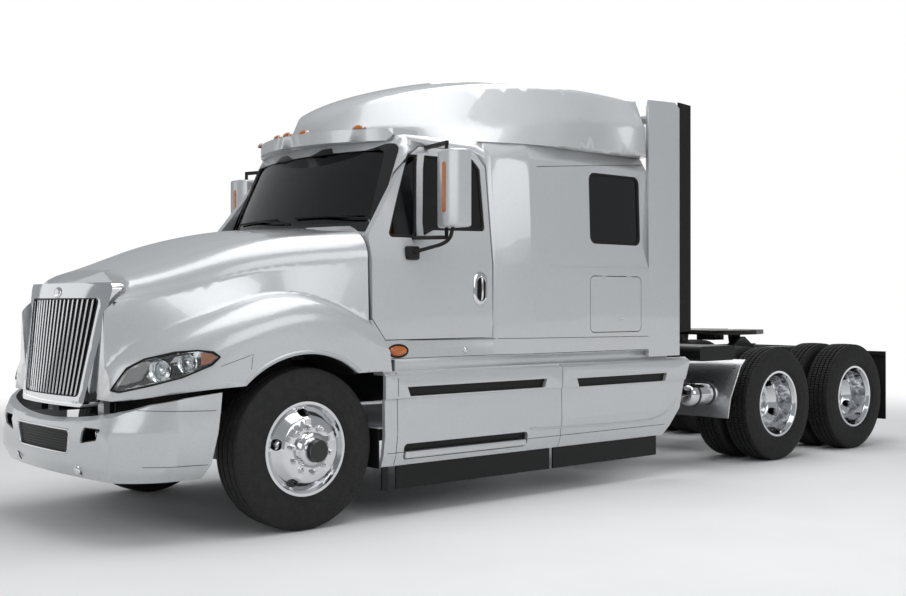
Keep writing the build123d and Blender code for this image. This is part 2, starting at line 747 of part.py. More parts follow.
def hood_block(inset, drop=0):
    """The hood as one solid, its skin moved in by inset and its foot lowered by drop."""
    with BuildPart() as block:
        for y, x0, z0, x1, z1, x2, z2, x3, z3, x4, z4, xs, zs, xt, zt, x5, z5, z6 in HOOD:
            foot = (x0 - inset, z0 - drop)
            outer = (x1 - inset, z1 - 0.2 * inset)
            fender = (x2 - 0.75 * inset, z2 - 0.75 * inset)
            valley = (x3 - 0.8 * inset, z3 - 0.6 * inset)
            side_crease = (x4 - inset, z4 - 0.5 * inset)
            shoulder = (xs - 0.85 * inset, zs - 0.6 * inset)
            inner = (xt - 0.5 * inset, zt - inset)
            ridge = (x5, z5 - inset)
            with BuildSketch(Plane.XZ.offset(-back(y))):
                with BuildLine():
                    for side in (1, -1):
                        Line((side * foot[0], foot[1]), (side * outer[0], outer[1]))
                        ThreePointArc(*[(side * x, z) for x, z in (outer, fender, valley)])
                        Line((side * valley[0], valley[1]), (side * side_crease[0], side_crease[1]))
                        ThreePointArc(*[(side * x, z) for x, z in (side_crease, shoulder, inner)])
                        Line((side * inner[0], inner[1]), (side * ridge[0], ridge[1]))
                    ThreePointArc(ridge, (0, z6 - inset), (-ridge[0], ridge[1]))
                    Line(foot, (-foot[0], foot[1]))
                make_face()
        loft()
    return block.part


# Grille: a crowned surround that leans back, cut through for upright bars
grille_lean = 0.126       # run back for each unit of rise
crown = 80                # the surround's middle stands this far ahead of its sides
surround_depth = 150      # the surround's middle stands this far ahead of its seat on the hood
crown_half = 640
nose_z = 820
nose_y = -1218            # middle of the surround's face at nose_z
SURROUND = [(-466, 800), (466, 800), (630, 1560), (-630, 1560)]
OPENING = [(-405, 862), (405, 862), (500, 1462), (-500, 1462)]
bar_count = 17
bar_w = 16


def crowned_block(depth, thick):
    """The crowned, leaning slab behind the surround's face, from depth to depth + thick behind it."""
    z0 = nose_z - 60
    y0 = back(nose_y - 60 * grille_lean + depth)
    rise = 860
    with BuildPart() as slab:
        with BuildSketch(Plane.XY.offset(z0)):
            with BuildLine():
                ThreePointArc((-crown_half, y0 + crown), (0, y0), (crown_half, y0 + crown))
                Line((crown_half, y0 + crown), (crown_half, y0 + crown + thick))
                ThreePointArc((crown_half, y0 + crown + thick), (0, y0 + thick),
                              (-crown_half, y0 + crown + thick))
                Line((-crown_half, y0 + crown + thick), (-crown_half, y0 + crown))
            make_face()
        extrude(amount=math.hypot(rise, rise * grille_lean), dir=(0, grille_lean, 1))
    return slab.part


def nose_space(ahead):
    """Everything in front of the leaning plane on which the surround is seated."""
    y0 = nose_y + surround_depth - ahead
    return side_prism([(-1500, 700), (y0 - 120 * grille_lean, 700), (y0 + 880 * grille_lean, 1700),
                       (-1500, 1700)],
                      -1500, 1500)


with BuildPart() as grille_surround:
    add(front_prism(SURROUND, -1400, -800, radius=45))
    add(crowned_block(0, 400), mode=Mode.INTERSECT)
    add(front_prism(OPENING, -1400, -800, radius=30), mode=Mode.SUBTRACT)
    add(nose_space(seat), mode=Mode.INTERSECT)
write(grille_surround.part, "grille_surround")

with BuildPart() as grille_bars:
    for i in range(bar_count):
        share = (2 * i - bar_count + 1) / bar_count
        x0, x1 = share * OPENING[1][0], share * OPENING[2][0]
        z0, z1 = 850, 1475
        sag0, sag1 = crown * (x0 / crown_half) ** 2, crown * (x1 / crown_half) ** 2
        foot = Vector(x0, back(nose_y + 34 + (z0 - nose_z) * grille_lean + sag0), z0)
        head = Vector(x1, back(nose_y + 34 + (z1 - nose_z) * grille_lean + sag1), z1)
        with BuildSketch(Plane.XY.offset(z0)):
            with Locations((foot.X, foot.Y)):
                RectangleRounded(bar_w, 30, 6)
        extrude(amount=(head - foot).length, dir=(head - foot))
    add(front_prism(OPENING, -1400, -800, grow=-seat, radius=30), mode=Mode.INTERSECT)
    add(crowned_block(64, 8))
    add(front_prism(OPENING, -1400, -800, grow=-seat, radius=30), mode=Mode.INTERSECT)
write(grille_bars.part, "grille_bars")

# Headlamps: an outline on an upright plane that faces out and ahead
lamp_turn = 35.1          # degrees between the lamp plane's normal and the X axis
LAMP = [(3, 913), (100, 1047), (206, 1102), (387, 1143), (522, 1153), (612, 1142), (652, 1112), (604, 1064),
        (434, 993), (252, 947), (55, 904)]


def lamp_prism(side, inside, outside, grow):
    """The lamp outline as a bar along its plane's normal."""
    turn = math.radians(lamp_turn)
    normal = (side * math.cos(turn), -math.sin(turn), 0)
    along = (side * math.sin(turn), math.cos(turn), 0)
    plane = Plane((side * 720, back(-1120), 0), x_dir=along, z_dir=normal)
    flip = 1 if plane.y_dir.Z > 0 else -1
    with BuildPart() as bar:
        with BuildSketch(plane.offset(-inside)):
            with BuildLine():
                Polyline(*[(a, flip * b) for a, b in LAMP], close=True)
            make_face()
            if grow:
                offset(amount=grow, kind=Kind.INTERSECTION)
        extrude(amount=inside + outside)
    return bar.part


hood_skin = hood_block(0)
hood_room = hood_block(hood_wall, 400)
lens_t = 8
lens_core = hood_block(lens_t)
bucket_core = hood_block(lens_t + seat)

with BuildPart() as arch_space:
    with BuildSketch(Plane.YZ.offset(-1500)):
        with Locations((back(steer_axle), axle_z)):
            Circle(arch_r)
    extrude(amount=3000)
    add(block_at(-770, 770, -700, 700, 0, 1500), mode=Mode.SUBTRACT)

with BuildPart() as nose_plate:
    add(hood_skin)
    add(nose_space(-hood_wall), mode=Mode.INTERSECT)
with BuildPart() as nose_cut:
    add(nose_space(0))
    add(front_prism([(-520, 700), (520, 700), (660, 1570), (660, 1700), (-660, 1700), (-660, 1570)], -1500,
                    -800),
        mode=Mode.INTERSECT)
with BuildPart() as cowl_space:
    add(screen_block(hood_gap, 1700, 2200))
    add(block_at(-1500, 1500, 100, hood_rear + 1, 1700, 2200), mode=Mode.INTERSECT)
# The hood's tail ends along the door's front edge and rests on the fairing
foot_z = fairing_z1 + seat
TAIL_CUT = [(hood_rear, 1336), (552, 1256), (557, 1238), (640, 1110), (655, foot_z), (580, foot_z), (580, 900),
            (900, 900), (900, 1400)]
with BuildPart() as hood_shell:
    add(hood_skin)
    add(hood_room, mode=Mode.SUBTRACT)
    add(nose_plate.part)
    add(nose_cut.part, mode=Mode.SUBTRACT)
    add(front_prism([(-440, 830), (440, 830), (560, 1500), (-560, 1500)], -1300, -900), mode=Mode.SUBTRACT)
    add(block_at(-1500, 1500, hood_rear, 900, 1335, 2100), mode=Mode.SUBTRACT)
    add(block_at(-1135, 1135, hood_rear, 900, 700, 2100), mode=Mode.SUBTRACT)
    add(side_prism(TAIL_CUT, -1500, 1500), mode=Mode.SUBTRACT)
    add(arch_space.part, mode=Mode.SUBTRACT)
    add(cowl_space.part, mode=Mode.SUBTRACT)
    for name, side in SIDES:
        add(lamp_prism(side, 200, 300, 0), mode=Mode.SUBTRACT)
write(hood_shell.part, "hood_shell")

# Lamp lenses follow the hood's skin; each bucket behind is open towards its lens
bucket_depth = 130
bucket_t = 8


def lens(side):
    """One lamp lens, cut from the hood's own skin."""
    with BuildPart() as glass:
        add(lamp_prism(side, 200, 300, -seat))
        add(hood_skin, mode=Mode.INTERSECT)
        add(lens_core, mode=Mode.SUBTRACT)
    return glass.part.solids().sort_by(SortBy.VOLUME)[-1]


def bucket(side):
    """The open housing behind one lens."""
    with BuildPart() as bowl:
        add(lamp_prism(side, bucket_depth, 300, -seat))
        add(bucket_core, mode=Mode.INTERSECT)
        add(lamp_prism(side, bucket_depth - bucket_t, 300, -bucket_t), mode=Mode.SUBTRACT)
    return bowl.part.solids().sort_by(SortBy.VOLUME)[-1]


with BuildPart() as headlamp_lenses:
    add([lens(side) for name, side in SIDES])
write(headlamp_lenses.part, "headlamp_lenses")
with BuildPart() as headlamp_buckets:
    add([bucket(side) for name, side in SIDES])
write(headlamp_buckets.part, "headlamp_buckets")

# Fender liners under the fenders
liner_t = 7
with BuildPart() as fender_liners:
    with BuildSketch(Plane.YZ.offset(-1120)):
        with Locations((back(steer_axle), axle_z)):
            Circle(arch_r + liner_t)
            Circle(arch_r, mode=Mode.SUBTRACT)
    extrude(amount=2240)
    add(block_at(-780, 780, -900, 900, 0, 1500), mode=Mode.SUBTRACT)
    add(block_at(-1500, 1500, -900, 900, 0, 965), mode=Mode.SUBTRACT)
    add(block_at(-1500, 1500, hood_rear - 20, 900, 0, 1500), mode=Mode.SUBTRACT)
    add(hood_block(hood_wall + seat, 400), mode=Mode.INTERSECT)
    add(arch_space.part, mode=Mode.SUBTRACT)
write(fender_liners.part, "fender_liners")

# Bumper: lofted plan outlines, hollow, with a lower grille opening and lamp recesses
# Columns: height; half width and back place of the side's rear end, of the side, of the front corner; nose
BUMPER = [
    (372, 985, -600, 965, -850, 770, -1140, -1192),
    (470, 1085, -600, 1060, -850, 815, -1175, -1236),
    (660, 1120, -600, 1090, -850, 820, -1180, nose),
    (800, 1120, -600, 1080, -850, 790, -1130, -1205),
    (930, 1115, -600, 1060, -850, 750, -1075, -1150),
]
bumper_wall = 30
bumper_rear = -560


def bumper_block(inset):
    """The bumper as one solid, its skin moved in by inset and open at the back."""
    with BuildPart() as block:
        for z, x0, y0, x1, y1, x2, y2, tip in BUMPER:
            with BuildSketch(Plane.XY.offset(z)):
                with BuildLine():
                    ThreePointArc((-x2 + inset, back(y2 + inset)), (0, back(tip + inset)),
                                  (x2 - inset, back(y2 + inset)))
                    bulge = 0.12
                    corner = ((x1 + x2) / 2 - inset - bulge * (y2 - y1),
                              back((y1 + y2 + inset) / 2 - bulge * (x1 - x2)))
                    for side in (1, -1):
                        ThreePointArc((side * (x2 - inset), back(y2 + inset)),
                                      (side * corner[0], corner[1]),
                                      (side * (x1 - inset), back(y1)))
                        Line((side * (x1 - inset), back(y1)), (side * (x0 - inset), back(-300)))
                    Line((x0 - inset, back(-300)), (-x0 + inset, back(-300)))
                make_face()
        loft(ruled=True)
    return block.part


BUMPER_TOP = [(-1400, 660), (-1262, 682), (-1170, 742), (-1095, 790), (-980, 838), (-800, 872), (-400, 915),
              (-400, 1100), (-1400, 1100)]
LOWER_GRILLE = [(-360, 520), (360, 520), (400, 660), (-400, 660)]
FOG = [(520, 590), (700, 620), (740, 690), (560, 690)]
TOW_HOLES = [(-470, 425), (470, 425)]
with BuildPart() as bumper:
    add(bumper_block(0))
    add(bumper_block(bumper_wall), mode=Mode.SUBTRACT)
    add(side_prism(BUMPER_TOP, -1500, 1500), mode=Mode.SUBTRACT)
    add(block_at(-1500, 1500, bumper_rear, 0, 0, 1200), mode=Mode.SUBTRACT)
    add(side_prism([(-660, 300), (-560, 300), (-560, 1000)], -1500, 1500), mode=Mode.SUBTRACT)
    add(front_prism(LOWER_GRILLE, -1400, -1000, radius=30), mode=Mode.SUBTRACT)
    for side in (-1, 1):
        add(front_prism([(side * x, z) for x, z in FOG], -1400, -900, radius=12), mode=Mode.SUBTRACT)
    with BuildSketch(Plane.XZ.offset(-back(-1400))):
        with Locations(*TOW_HOLES):
            SlotOverall(64, 40, rotation=90)
    extrude(amount=-400, mode=Mode.SUBTRACT)
    for side in (-1, 1):
        add(block_at(*sorted((side * 345, side * 425)), -1200, rail_front - seat, 690, 725))
        add(block_at(*sorted((side * 345, side * 425)), rail_front - 40, rail_front - seat, 690, 980))
write(bumper.part, "bumper")

# Lower grille, and fog lamps in their dark cups
cup_rear = -1060
cup_t = 8
grille_skin = bumper_block(10)
grille_core = bumper_block(22)
with BuildPart() as lower_grille:
    add(front_prism(LOWER_GRILLE, -1400, -1000, grow=-seat, radius=30))
    add(grille_skin, mode=Mode.INTERSECT)
    add(grille_core, mode=Mode.SUBTRACT)


def fog_cup(side):
    """One fog lamp in its cup, which follows the bumper's skin."""
    outline = [(side * x, z) for x, z in FOG]
    face = Plane((side * 640, back(cup_rear - cup_t), 652), x_dir=(1, 0, 0), z_dir=(0, -1, 0))
    with BuildPart() as cup:
        add(front_prism(outline, -1400, cup_rear, grow=-seat, radius=12))
        add(front_prism(outline, -1400, cup_rear - cup_t, grow=-cup_t, radius=12), mode=Mode.SUBTRACT)
        add(grille_skin, mode=Mode.INTERSECT)
        with BuildSketch(face):
            Circle(30)
        extrude(amount=45)
    return cup.part


with BuildPart() as fog_lamps:
    add(lower_grille.part)
    add([fog_cup(side) for name, side in SIDES])
write(fog_lamps.part, "fog_lamps")

# Chassis fairings between the axles: skirts in two panels a side, slotted, with a step
SKIRT = [(1135, fairing_z1), (1195, 950), (1195, 800), (1182, 788), (1188, 560), (1168, 420),
         (1140, fairing_z0)]
SLOTS = [(775, 2115, 808, 872), (2440, 3530, 795, 860)]
STEP = (760, 1930, 382, 490)
with BuildPart() as side_fairings:
    for name, side in SIDES:
        with BuildSketch(Plane.XZ.offset(-back(fairing_front))):
            with BuildLine():
                Polyline(*[(side * x, z) for x, z in SKIRT],
                         *[(side * (x - fairing_t), z) for x, z in reversed(SKIRT)], close=True)
            make_face()
        extrude(amount=-(fairing_rear - fairing_front))
        add(block_at(*sorted((side * 1060, side * 1166)), fairing_front, fairing_rear - 60, fairing_z1 - 26,
                     fairing_z1))
        for y in (1240, 2900):
            add(block_at(*sorted((side * (rail_x + seat), side * 1170)), y, y + 60, 890, 916))
    add(block_at(-1500, 1500, fairing_split - 3, fairing_split + 3, 300, 1000), mode=Mode.SUBTRACT)
    for y0, y1, z0, z1 in SLOTS:
        add(side_prism([(y0 + 25, z0), (y1 - 25, z0), (y1, z1), (y0, z1)], -1500, -1100),
            mode=Mode.SUBTRACT)
        add(side_prism([(y0 + 25, z0), (y1 - 25, z0), (y1, z1), (y0, z1)], 1100, 1500), mode=Mode.SUBTRACT)
    for name, side in SIDES:
        y0, y1, z0, z1 = STEP
        add(side_prism([(y0, z0), (y1, z0), (y1, z1), (y0, z1)], *sorted((side * 1100, side * 1300)),
                       radius=30),
            mode=Mode.SUBTRACT)
    add(side_prism([(3500, 300), (3700, 560), (3760, 760), (3850, 990), (3900, 990), (3900, 300)], -1500,
                   1500),
        mode=Mode.SUBTRACT)
write(side_fairings.part, "side_fairings")

STRIPS = [(600, 650), (720, 2190), (2230, 3450)]
backing_t = 12


def slot_backing(side, y0, y1, z0, z1):
    """A plate behind one opening of the skirt, following the skirt's inner face."""
    inner = fairing_t + seat
    with BuildPart() as plate:
        with BuildSketch(Plane.XZ.offset(-back(y0))):
            with BuildLine():
                Polyline(*[(side * (x - inner), z) for x, z in SKIRT],
                         *[(side * (x - inner - backing_t), z) for x, z in reversed(SKIRT)], close=True)
            make_face()
        extrude(amount=-(y1 - y0))
        add(block_at(-1500, 1500, y0, y1, z0, z1), mode=Mode.INTERSECT)
    return plate.part


with BuildPart() as fairing_trim:
    for name, side in SIDES:
        for y0, y1, z0, z1 in SLOTS + [STEP]:
            add(slot_backing(side, y0 - 12, y1 + 12, z0 - 12, z1 + 12))
        for y0, y1 in STRIPS:
            add(block_at(*sorted((side * 1128, side * 1142)), y0, y1, 188, fairing_z0 - seat))
write(fairing_trim.part, "fairing_trim")

# Fuel tanks and tank straps behind the skirts
tank_x, tank_z, tank_r = 790, 640, 300
with BuildPart() as fuel_tanks:
    for side in (-1, 1):
        with BuildSketch(Plane.XZ.offset(-back(1350))):
            with Locations((side * tank_x, tank_z)):
                Circle(tank_r)
        extrude(amount=-1400)
        for y in (1600, 2450):
            add(block_at(*sorted((side * (rail_x + seat), side * (tank_x - 180))), y, y + 60, 730, 960))
write(fuel_tanks.part, "fuel_tanks")

# Side extenders behind the sleeper and their rubber edges
EXTENDER = [(body_rear + seat, 1000), (body_rear + seat, 3085), (3640, 3100), (3700, 3060), (3700, 1000)]
with BuildPart() as side_extenders:
    for side in (-1, 1):
        add(side_prism(EXTENDER, *sorted((side * 1160, side * 1190))))
        for z in (1400, 2200, 2900):
            add(block_at(*sorted((side * 1080, side * 1161)), body_rear + seat, body_rear + 60, z, z + 60))
write(side_extenders.part, "side_extenders")
with BuildPart() as extender_rubbers:
    for side in (-1, 1):
        add(side_prism([(3700 + seat, 1190), (3700 + seat, 3110), (3860, 3100), (3860, 1200)],
                       *sorted((side * 1168, side * 1184))))
write(extender_rubbers.part, "extender_rubbers")

# Deck behind the cab: treadplate, black boxes, polished quarter fenders
with BuildPart() as deck:
    add(block_at(-520, 520, 3420, 4300, rail_top + seat, rail_top + 12))
    for side in (-1, 1):
        add(block_at(*sorted((side * (rail_x + 60), side * 1160)), 4020, 4520, 935, 1062))
        add(block_at(*sorted((side * (rail_x + seat), side * (rail_x + 61))), 4100, 4400, 800, 984))
    fillet(deck.edges().filter_by(Axis.X).filter_by(lambda e: abs(e.center().X) > 600), 40)
write(deck.part, "deck")
with BuildPart() as quarter_fenders:
    for side in (-1, 1):
        add(side_prism([(4362, 430), (4400, 600), (4545, 870), (4620, 934), (4608, 934), (4538, 878),
                        (4388, 604),
                        (4350, 430)], *sorted((side * 600, side * 1205))))
        add(block_at(*sorted((side * (rail_x + seat), side * 601)), 4400, 4440, 760, 800))
        add(side_prism([(4395, 760), (4440, 760), (4440, 700), (4420, 650), (4410, 650)],
                       *sorted((side * 590, side * 640))))
write(quarter_fenders.part, "quarter_fenders")

# Fifth wheel: brackets on the rails, and the plate that tilts on its cross pin
throat_w = 2 * kingpin_r + 4
PLATE = [(-300, -330), (300, -330), (450, -150), (460, 180), (380, 420), (90, 470), (throat_w / 2, 150),
         (throat_w / 2, 40), (-throat_w / 2, 40), (-throat_w / 2, 150), (-90, 470), (-380, 420), (-460,
                                                                                                  180),
         (-450, -150)]
pivot_r = 22
with BuildPart() as fifth_wheel_mount:
    for side in (-1, 1):
        add(side_prism([(plate_y - 200, rail_top + seat), (plate_y + 200, rail_top + seat),
                        (plate_y + 190, rail_top + 14),
                        (plate_y + 32, plate_pivot_z + 36), (plate_y - 32, plate_pivot_z + 36),
                        (plate_y - 190, rail_top + 14)], *sorted((side * 345, side * 425))))
    with BuildSketch(Plane.YZ.offset(-425)):
        with Locations((back(plate_y), plate_pivot_z)):
            Circle(pivot_r - seat / 2)
    extrude(amount=850)
    add(block_at(-300, 300, plate_y - 100, plate_y + 100, 900, 1200), mode=Mode.SUBTRACT)
write(fifth_wheel_mount.part, "fifth_wheel_mount")

jaw_y = plate_y + 40
with BuildPart() as fifth_wheel_plate:
    with BuildSketch(Plane.XY.offset(plate_top - plate_t)):
        with BuildLine():
            Polyline(*[(x, back(plate_y + y)) for x, y in PLATE], close=True)
        make_face()
    extrude(amount=plate_t)
    for side in (-1, 1):
        add(side_prism([(plate_y - 60, plate_pivot_z - 45), (plate_y + 60, plate_pivot_z - 45),
                        (plate_y + 90, plate_top - 10), (plate_y - 90, plate_top - 10)],
                       *sorted((side * 302, side * 338))))
    with BuildSketch(Plane.XY.offset(plate_top - plate_t - 60)):
        with Locations((0, back(jaw_y))):
            RectangleRounded(220, 200, 30)
    extrude(amount=60)
    with BuildSketch(Plane.XY.offset(plate_top - plate_t - 60)):
        with Locations((0, back(jaw_y))):
            Circle(kingpin_r)
    extrude(amount=200, mode=Mode.SUBTRACT)
    with BuildSketch(Plane.YZ.offset(-430)):
        with Locations((back(plate_y), plate_pivot_z)):
            Circle(pivot_r)
    extrude(amount=860, mode=Mode.SUBTRACT)
write(fifth_wheel_plate.part, "fifth_wheel_plate")

# Mud flaps and tail lamps at the frame's end
with BuildPart() as mud_flaps:
    for side in (-1, 1):
        add(block_at(*sorted((side * (rail_x + seat), side * 1190)), 7040, 7060, 900, 940))
        add(block_at(*sorted((side * 600, side * 1200)), 7060, 7070, 250, 941))
write(mud_flaps.part, "mud_flaps")
with BuildPart() as tail_lamps:
    add(block_at(-425, 425, rail_rear + seat, rail_rear + 10, 820, 960))
    for x in (-330, -230, 230, 330):
        with BuildSketch(Plane.XZ.offset(-back(rail_rear + 9))):
            with Locations((x, 890)):
                Circle(45)
        extrude(amount=-(tail - rail_rear - 9))
write(tail_lamps.part, "tail_lamps")
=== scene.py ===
"""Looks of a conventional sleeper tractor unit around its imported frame. Metres, +Z up, nose along -Y."""
import json
import math

import bmesh
import bpy
from mathutils import Matrix, Vector
from mathutils.bvhtree import BVHTree

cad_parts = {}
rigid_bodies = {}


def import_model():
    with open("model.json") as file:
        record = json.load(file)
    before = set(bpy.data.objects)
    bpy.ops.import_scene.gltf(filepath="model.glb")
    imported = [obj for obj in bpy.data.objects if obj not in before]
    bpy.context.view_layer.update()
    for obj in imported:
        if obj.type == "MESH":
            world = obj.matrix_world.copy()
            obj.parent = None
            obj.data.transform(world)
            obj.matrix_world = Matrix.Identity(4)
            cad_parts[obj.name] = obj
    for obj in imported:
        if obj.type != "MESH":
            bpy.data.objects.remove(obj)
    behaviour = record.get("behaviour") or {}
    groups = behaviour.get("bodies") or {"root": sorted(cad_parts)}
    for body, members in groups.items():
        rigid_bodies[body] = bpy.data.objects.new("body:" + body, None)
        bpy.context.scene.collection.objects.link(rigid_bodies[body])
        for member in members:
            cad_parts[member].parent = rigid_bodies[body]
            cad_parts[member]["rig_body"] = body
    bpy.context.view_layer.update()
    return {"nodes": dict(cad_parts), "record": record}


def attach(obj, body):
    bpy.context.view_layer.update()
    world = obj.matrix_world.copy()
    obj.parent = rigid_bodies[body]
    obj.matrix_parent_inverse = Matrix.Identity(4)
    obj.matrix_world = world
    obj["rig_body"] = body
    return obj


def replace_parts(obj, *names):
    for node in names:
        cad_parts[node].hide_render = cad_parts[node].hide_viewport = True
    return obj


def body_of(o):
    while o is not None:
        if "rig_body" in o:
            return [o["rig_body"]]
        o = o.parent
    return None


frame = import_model()
NODES = frame["nodes"]
FRONT_AXLE_Y = -2.920
SIDES = (("left", 1), ("right", -1))
STEER_AXLE, DRIVE_AXLES = 0.0, (("front", 5.145), ("rear", 6.466))
AXLE_Z, STEER_X, DUAL_X, DISC_OFFSET = 0.515, 1.015, 0.910, 0.168
# Corners of a CAD mesh closer than MERGE are one. Rays that seat trim start OUTSIDE, beside the truck, or AHEAD
# of it.
MERGE, OUTSIDE, AHEAD = 0.00002, 1.6, -6.0


def back(distance):
    """Place along the truck, measured back from the front axle."""
    return FRONT_AXLE_Y + distance


# Node helpers

def linear(code):
    """An sRGB hex colour as linear RGBA."""
    channels = [int(code[i:i + 2], 16) / 255 for i in (1, 3, 5)]
    return tuple(c / 12.92 if c <= 0.04045 else ((c + 0.055) / 1.055) ** 2.4 for c in channels) + (1.0,)


def node(tree, kind, inputs=None, **settings):
    """Adds a node with its settings; an input's value is a number or the socket that feeds it."""
    made = tree.nodes.new(kind)
    for key, value in settings.items():
        setattr(made, key, value)
    for key, value in (inputs or {}).items():
        socket = made.inputs[key]
        if isinstance(value, bpy.types.NodeSocket):
            tree.links.new(value, socket)
        else:
            socket.default_value = value
    return made


def finish(name, **base):
    """A material with one Principled shader; returns it with its tree and shader."""
    mat = bpy.data.materials.new(name)
    mat.use_nodes = True
    tree = mat.node_tree
    tree.nodes.clear()
    shader = node(tree, "ShaderNodeBsdfPrincipled", {k.replace("_", " "): v for k, v in base.items()})
    node(tree, "ShaderNodeOutputMaterial", {"Surface": shader.outputs[0]})
    return mat, tree, shader


def noise(tree, size_mm, detail=3.0):
    """Noise on Object coordinates whose grains are size_mm across."""
    place = node(tree, "ShaderNodeTexCoord").outputs["Object"]
    grain = node(tree, "ShaderNodeTexNoise", {"Vector": place, "Scale": 1000 / size_mm, "Detail": detail})
    return grain.outputs[0]


def span(tree, value, low, high, start=0.3, stop=0.7):
    """Maps a pattern's start..stop onto low..high."""
    mapped = node(tree, "ShaderNodeMapRange", {"Value": value, "From Min": start, "From Max": stop,
                                               "To Min": low, "To Max": high})
    return mapped.outputs[0]


def two_tone(tree, value, dark, light, start=0.3, stop=0.7):
    """Mixes two colours by a pattern."""
    ramp = node(tree, "ShaderNodeValToRGB", {"Fac": value})
    ramp.color_ramp.elements[0].position, ramp.color_ramp.elements[0].color = start, linear(dark)
    ramp.color_ramp.elements[1].position, ramp.color_ramp.elements[1].color = stop, linear(light)
    return ramp.outputs[0]


def bump(tree, shader, height, depth_mm, strength=0.5):
    """Raises the surface by a pattern, depth_mm at most."""
    raised = node(tree, "ShaderNodeBump",
                  {"Height": height, "Strength": strength, "Distance": depth_mm / 1000})
    tree.links.new(raised.outputs[0], shader.inputs["Normal"])


def into(tree, value, shader, name):
    """Feeds a pattern to one of the shader's inputs."""
    tree.links.new(value, shader.inputs[name])


# Materials

def pearl_paint(name, dark, light):
    """Metallic basecoat under clear lacquer: soft silver body with a sharp reflection on top. Flake is drawn at
    3 mm so that it shows, and the lacquer keeps a faint orange peel at 9 mm."""
    mat, tree, shader = finish(name, Metallic=0.3, Coat_Weight=1.0, Coat_Roughness=0.03, Coat_IOR=1.5)
    flake = noise(tree, 3, 1.0)
    into(tree, two_tone(tree, flake, dark, light, 0.25, 0.75), shader, "Base Color")
    into(tree, span(tree, flake, 0.27, 0.33), shader, "Roughness")
    bump(tree, shader, noise(tree, 9, 0.0), 0.02, 0.05)
    return mat


def satin(name, dark, light, rough, grain_mm, depth_mm, **more):
    """A coated or moulded surface: two close tones, a fine grain and a roughness that drifts."""
    mat, tree, shader = finish(name, **more)
    grain = noise(tree, grain_mm, 4.0)
    into(tree, two_tone(tree, noise(tree, grain_mm * 9, 3.0), dark, light), shader, "Base Color")
    into(tree, span(tree, grain, rough - 0.06, rough + 0.06), shader, "Roughness")
    bump(tree, shader, grain, depth_mm, 0.4)
    return mat


def bright_metal(name, tone, rough, brush_mm, depth_mm=0.03):
    """Bare or plated metal: one reflective tone, with a polishing grain that only shows in the highlights."""
    mat, tree, shader = finish(name, Metallic=1.0, Base_Color=linear(tone))
    grain = noise(tree, brush_mm, 2.0)
    into(tree, span(tree, grain, rough * 0.7, rough * 1.5), shader, "Roughness")
    bump(tree, shader, grain, depth_mm, 0.08)
    return mat


def tinted_glass(name, tone, **more):
    """Float glass with a tint: clear reflection outside, dimmed view in."""
    mat, tree, shader = finish(name, Base_Color=linear(tone), Transmission_Weight=1.0, IOR=1.5, **more)
    into(tree, span(tree, noise(tree, 400, 2.0), 0.0, 0.015), shader, "Roughness")
    return mat


def lens(name, tone, ribs_mm):
    """Moulded lamp lens: clear coloured plastic with fine flutes inside."""
    mat, tree, shader = finish(name, Base_Color=linear(tone), Transmission_Weight=0.55, IOR=1.49,
                               Roughness=0.12, Coat_Weight=0.6, Coat_Roughness=0.04)
    place = node(tree, "ShaderNodeTexCoord").outputs["Object"]
    wave = node(tree, "ShaderNodeTexWave",
                {"Vector": place, "Scale": 1000 / (ribs_mm * 6.28), "Distortion": 0.0}, bands_direction="Z")
    bump(tree, shader, wave.outputs["Fac"], 0.6, 0.6)
    return mat


def tyre_rubber(name):
    """Cured carbon-black rubber: matt, slightly brown where it has bloomed, fine mould grain at 2 mm."""
    mat, tree, shader = finish(name, Specular_IOR_Level=0.35)
    into(tree, two_tone(tree, noise(tree, 45, 5.0), "#191919", "#242322"), shader, "Base Color")
    into(tree, span(tree, noise(tree, 12, 4.0), 0.62, 0.82), shader, "Roughness")
    bump(tree, shader, noise(tree, 2.0, 3.0), 0.25, 0.35)
    return mat


def cloth(name, dark, light, thread_mm):
    """Woven upholstery: crossing threads, drawn at thread_mm so that they show."""
    mat, tree, shader = finish(name, Sheen_Weight=0.35, Sheen_Roughness=0.5, Roughness=0.9)
    place = node(tree, "ShaderNodeTexCoord").outputs["Object"]
    threads = []
    for direction in ("X", "Z"):
        wave = node(tree, "ShaderNodeTexWave",
                    {"Vector": place, "Scale": 1000 / (thread_mm * 6.28), "Distortion": 0.6},
                    bands_direction=direction)
        threads.append(wave.outputs["Fac"])
    weave = node(tree, "ShaderNodeMath", {0: threads[0], 1: threads[1]}, operation="MULTIPLY").outputs[0]
    into(tree, two_tone(tree, noise(tree, 9, 5.0), dark, light), shader, "Base Color")
    bump(tree, shader, weave, 0.5, 0.5)
    return mat


def finned(name, tone, pitch_mm):
    """Aluminium cooler core: upright fins at pitch_mm across, with painted shade as near-black bands in the gaps
    between them.
    """
    mat, tree, shader = finish(name, Metallic=0.9, Roughness=0.45)
    place = node(tree, "ShaderNodeTexCoord").outputs["Object"]
    wave = node(tree, "ShaderNodeTexWave", {"Vector": place, "Scale": 1000 / (pitch_mm * 6.28)},
                bands_direction="X")
    # Painted shade: the near-black end of the ramp darkens the gaps between the fins.
    into(tree, two_tone(tree, wave.outputs["Fac"], "#101112", tone, 0.2, 0.8), shader, "Base Color")
    bump(tree, shader, wave.outputs["Fac"], 1.5, 0.8)
    return mat


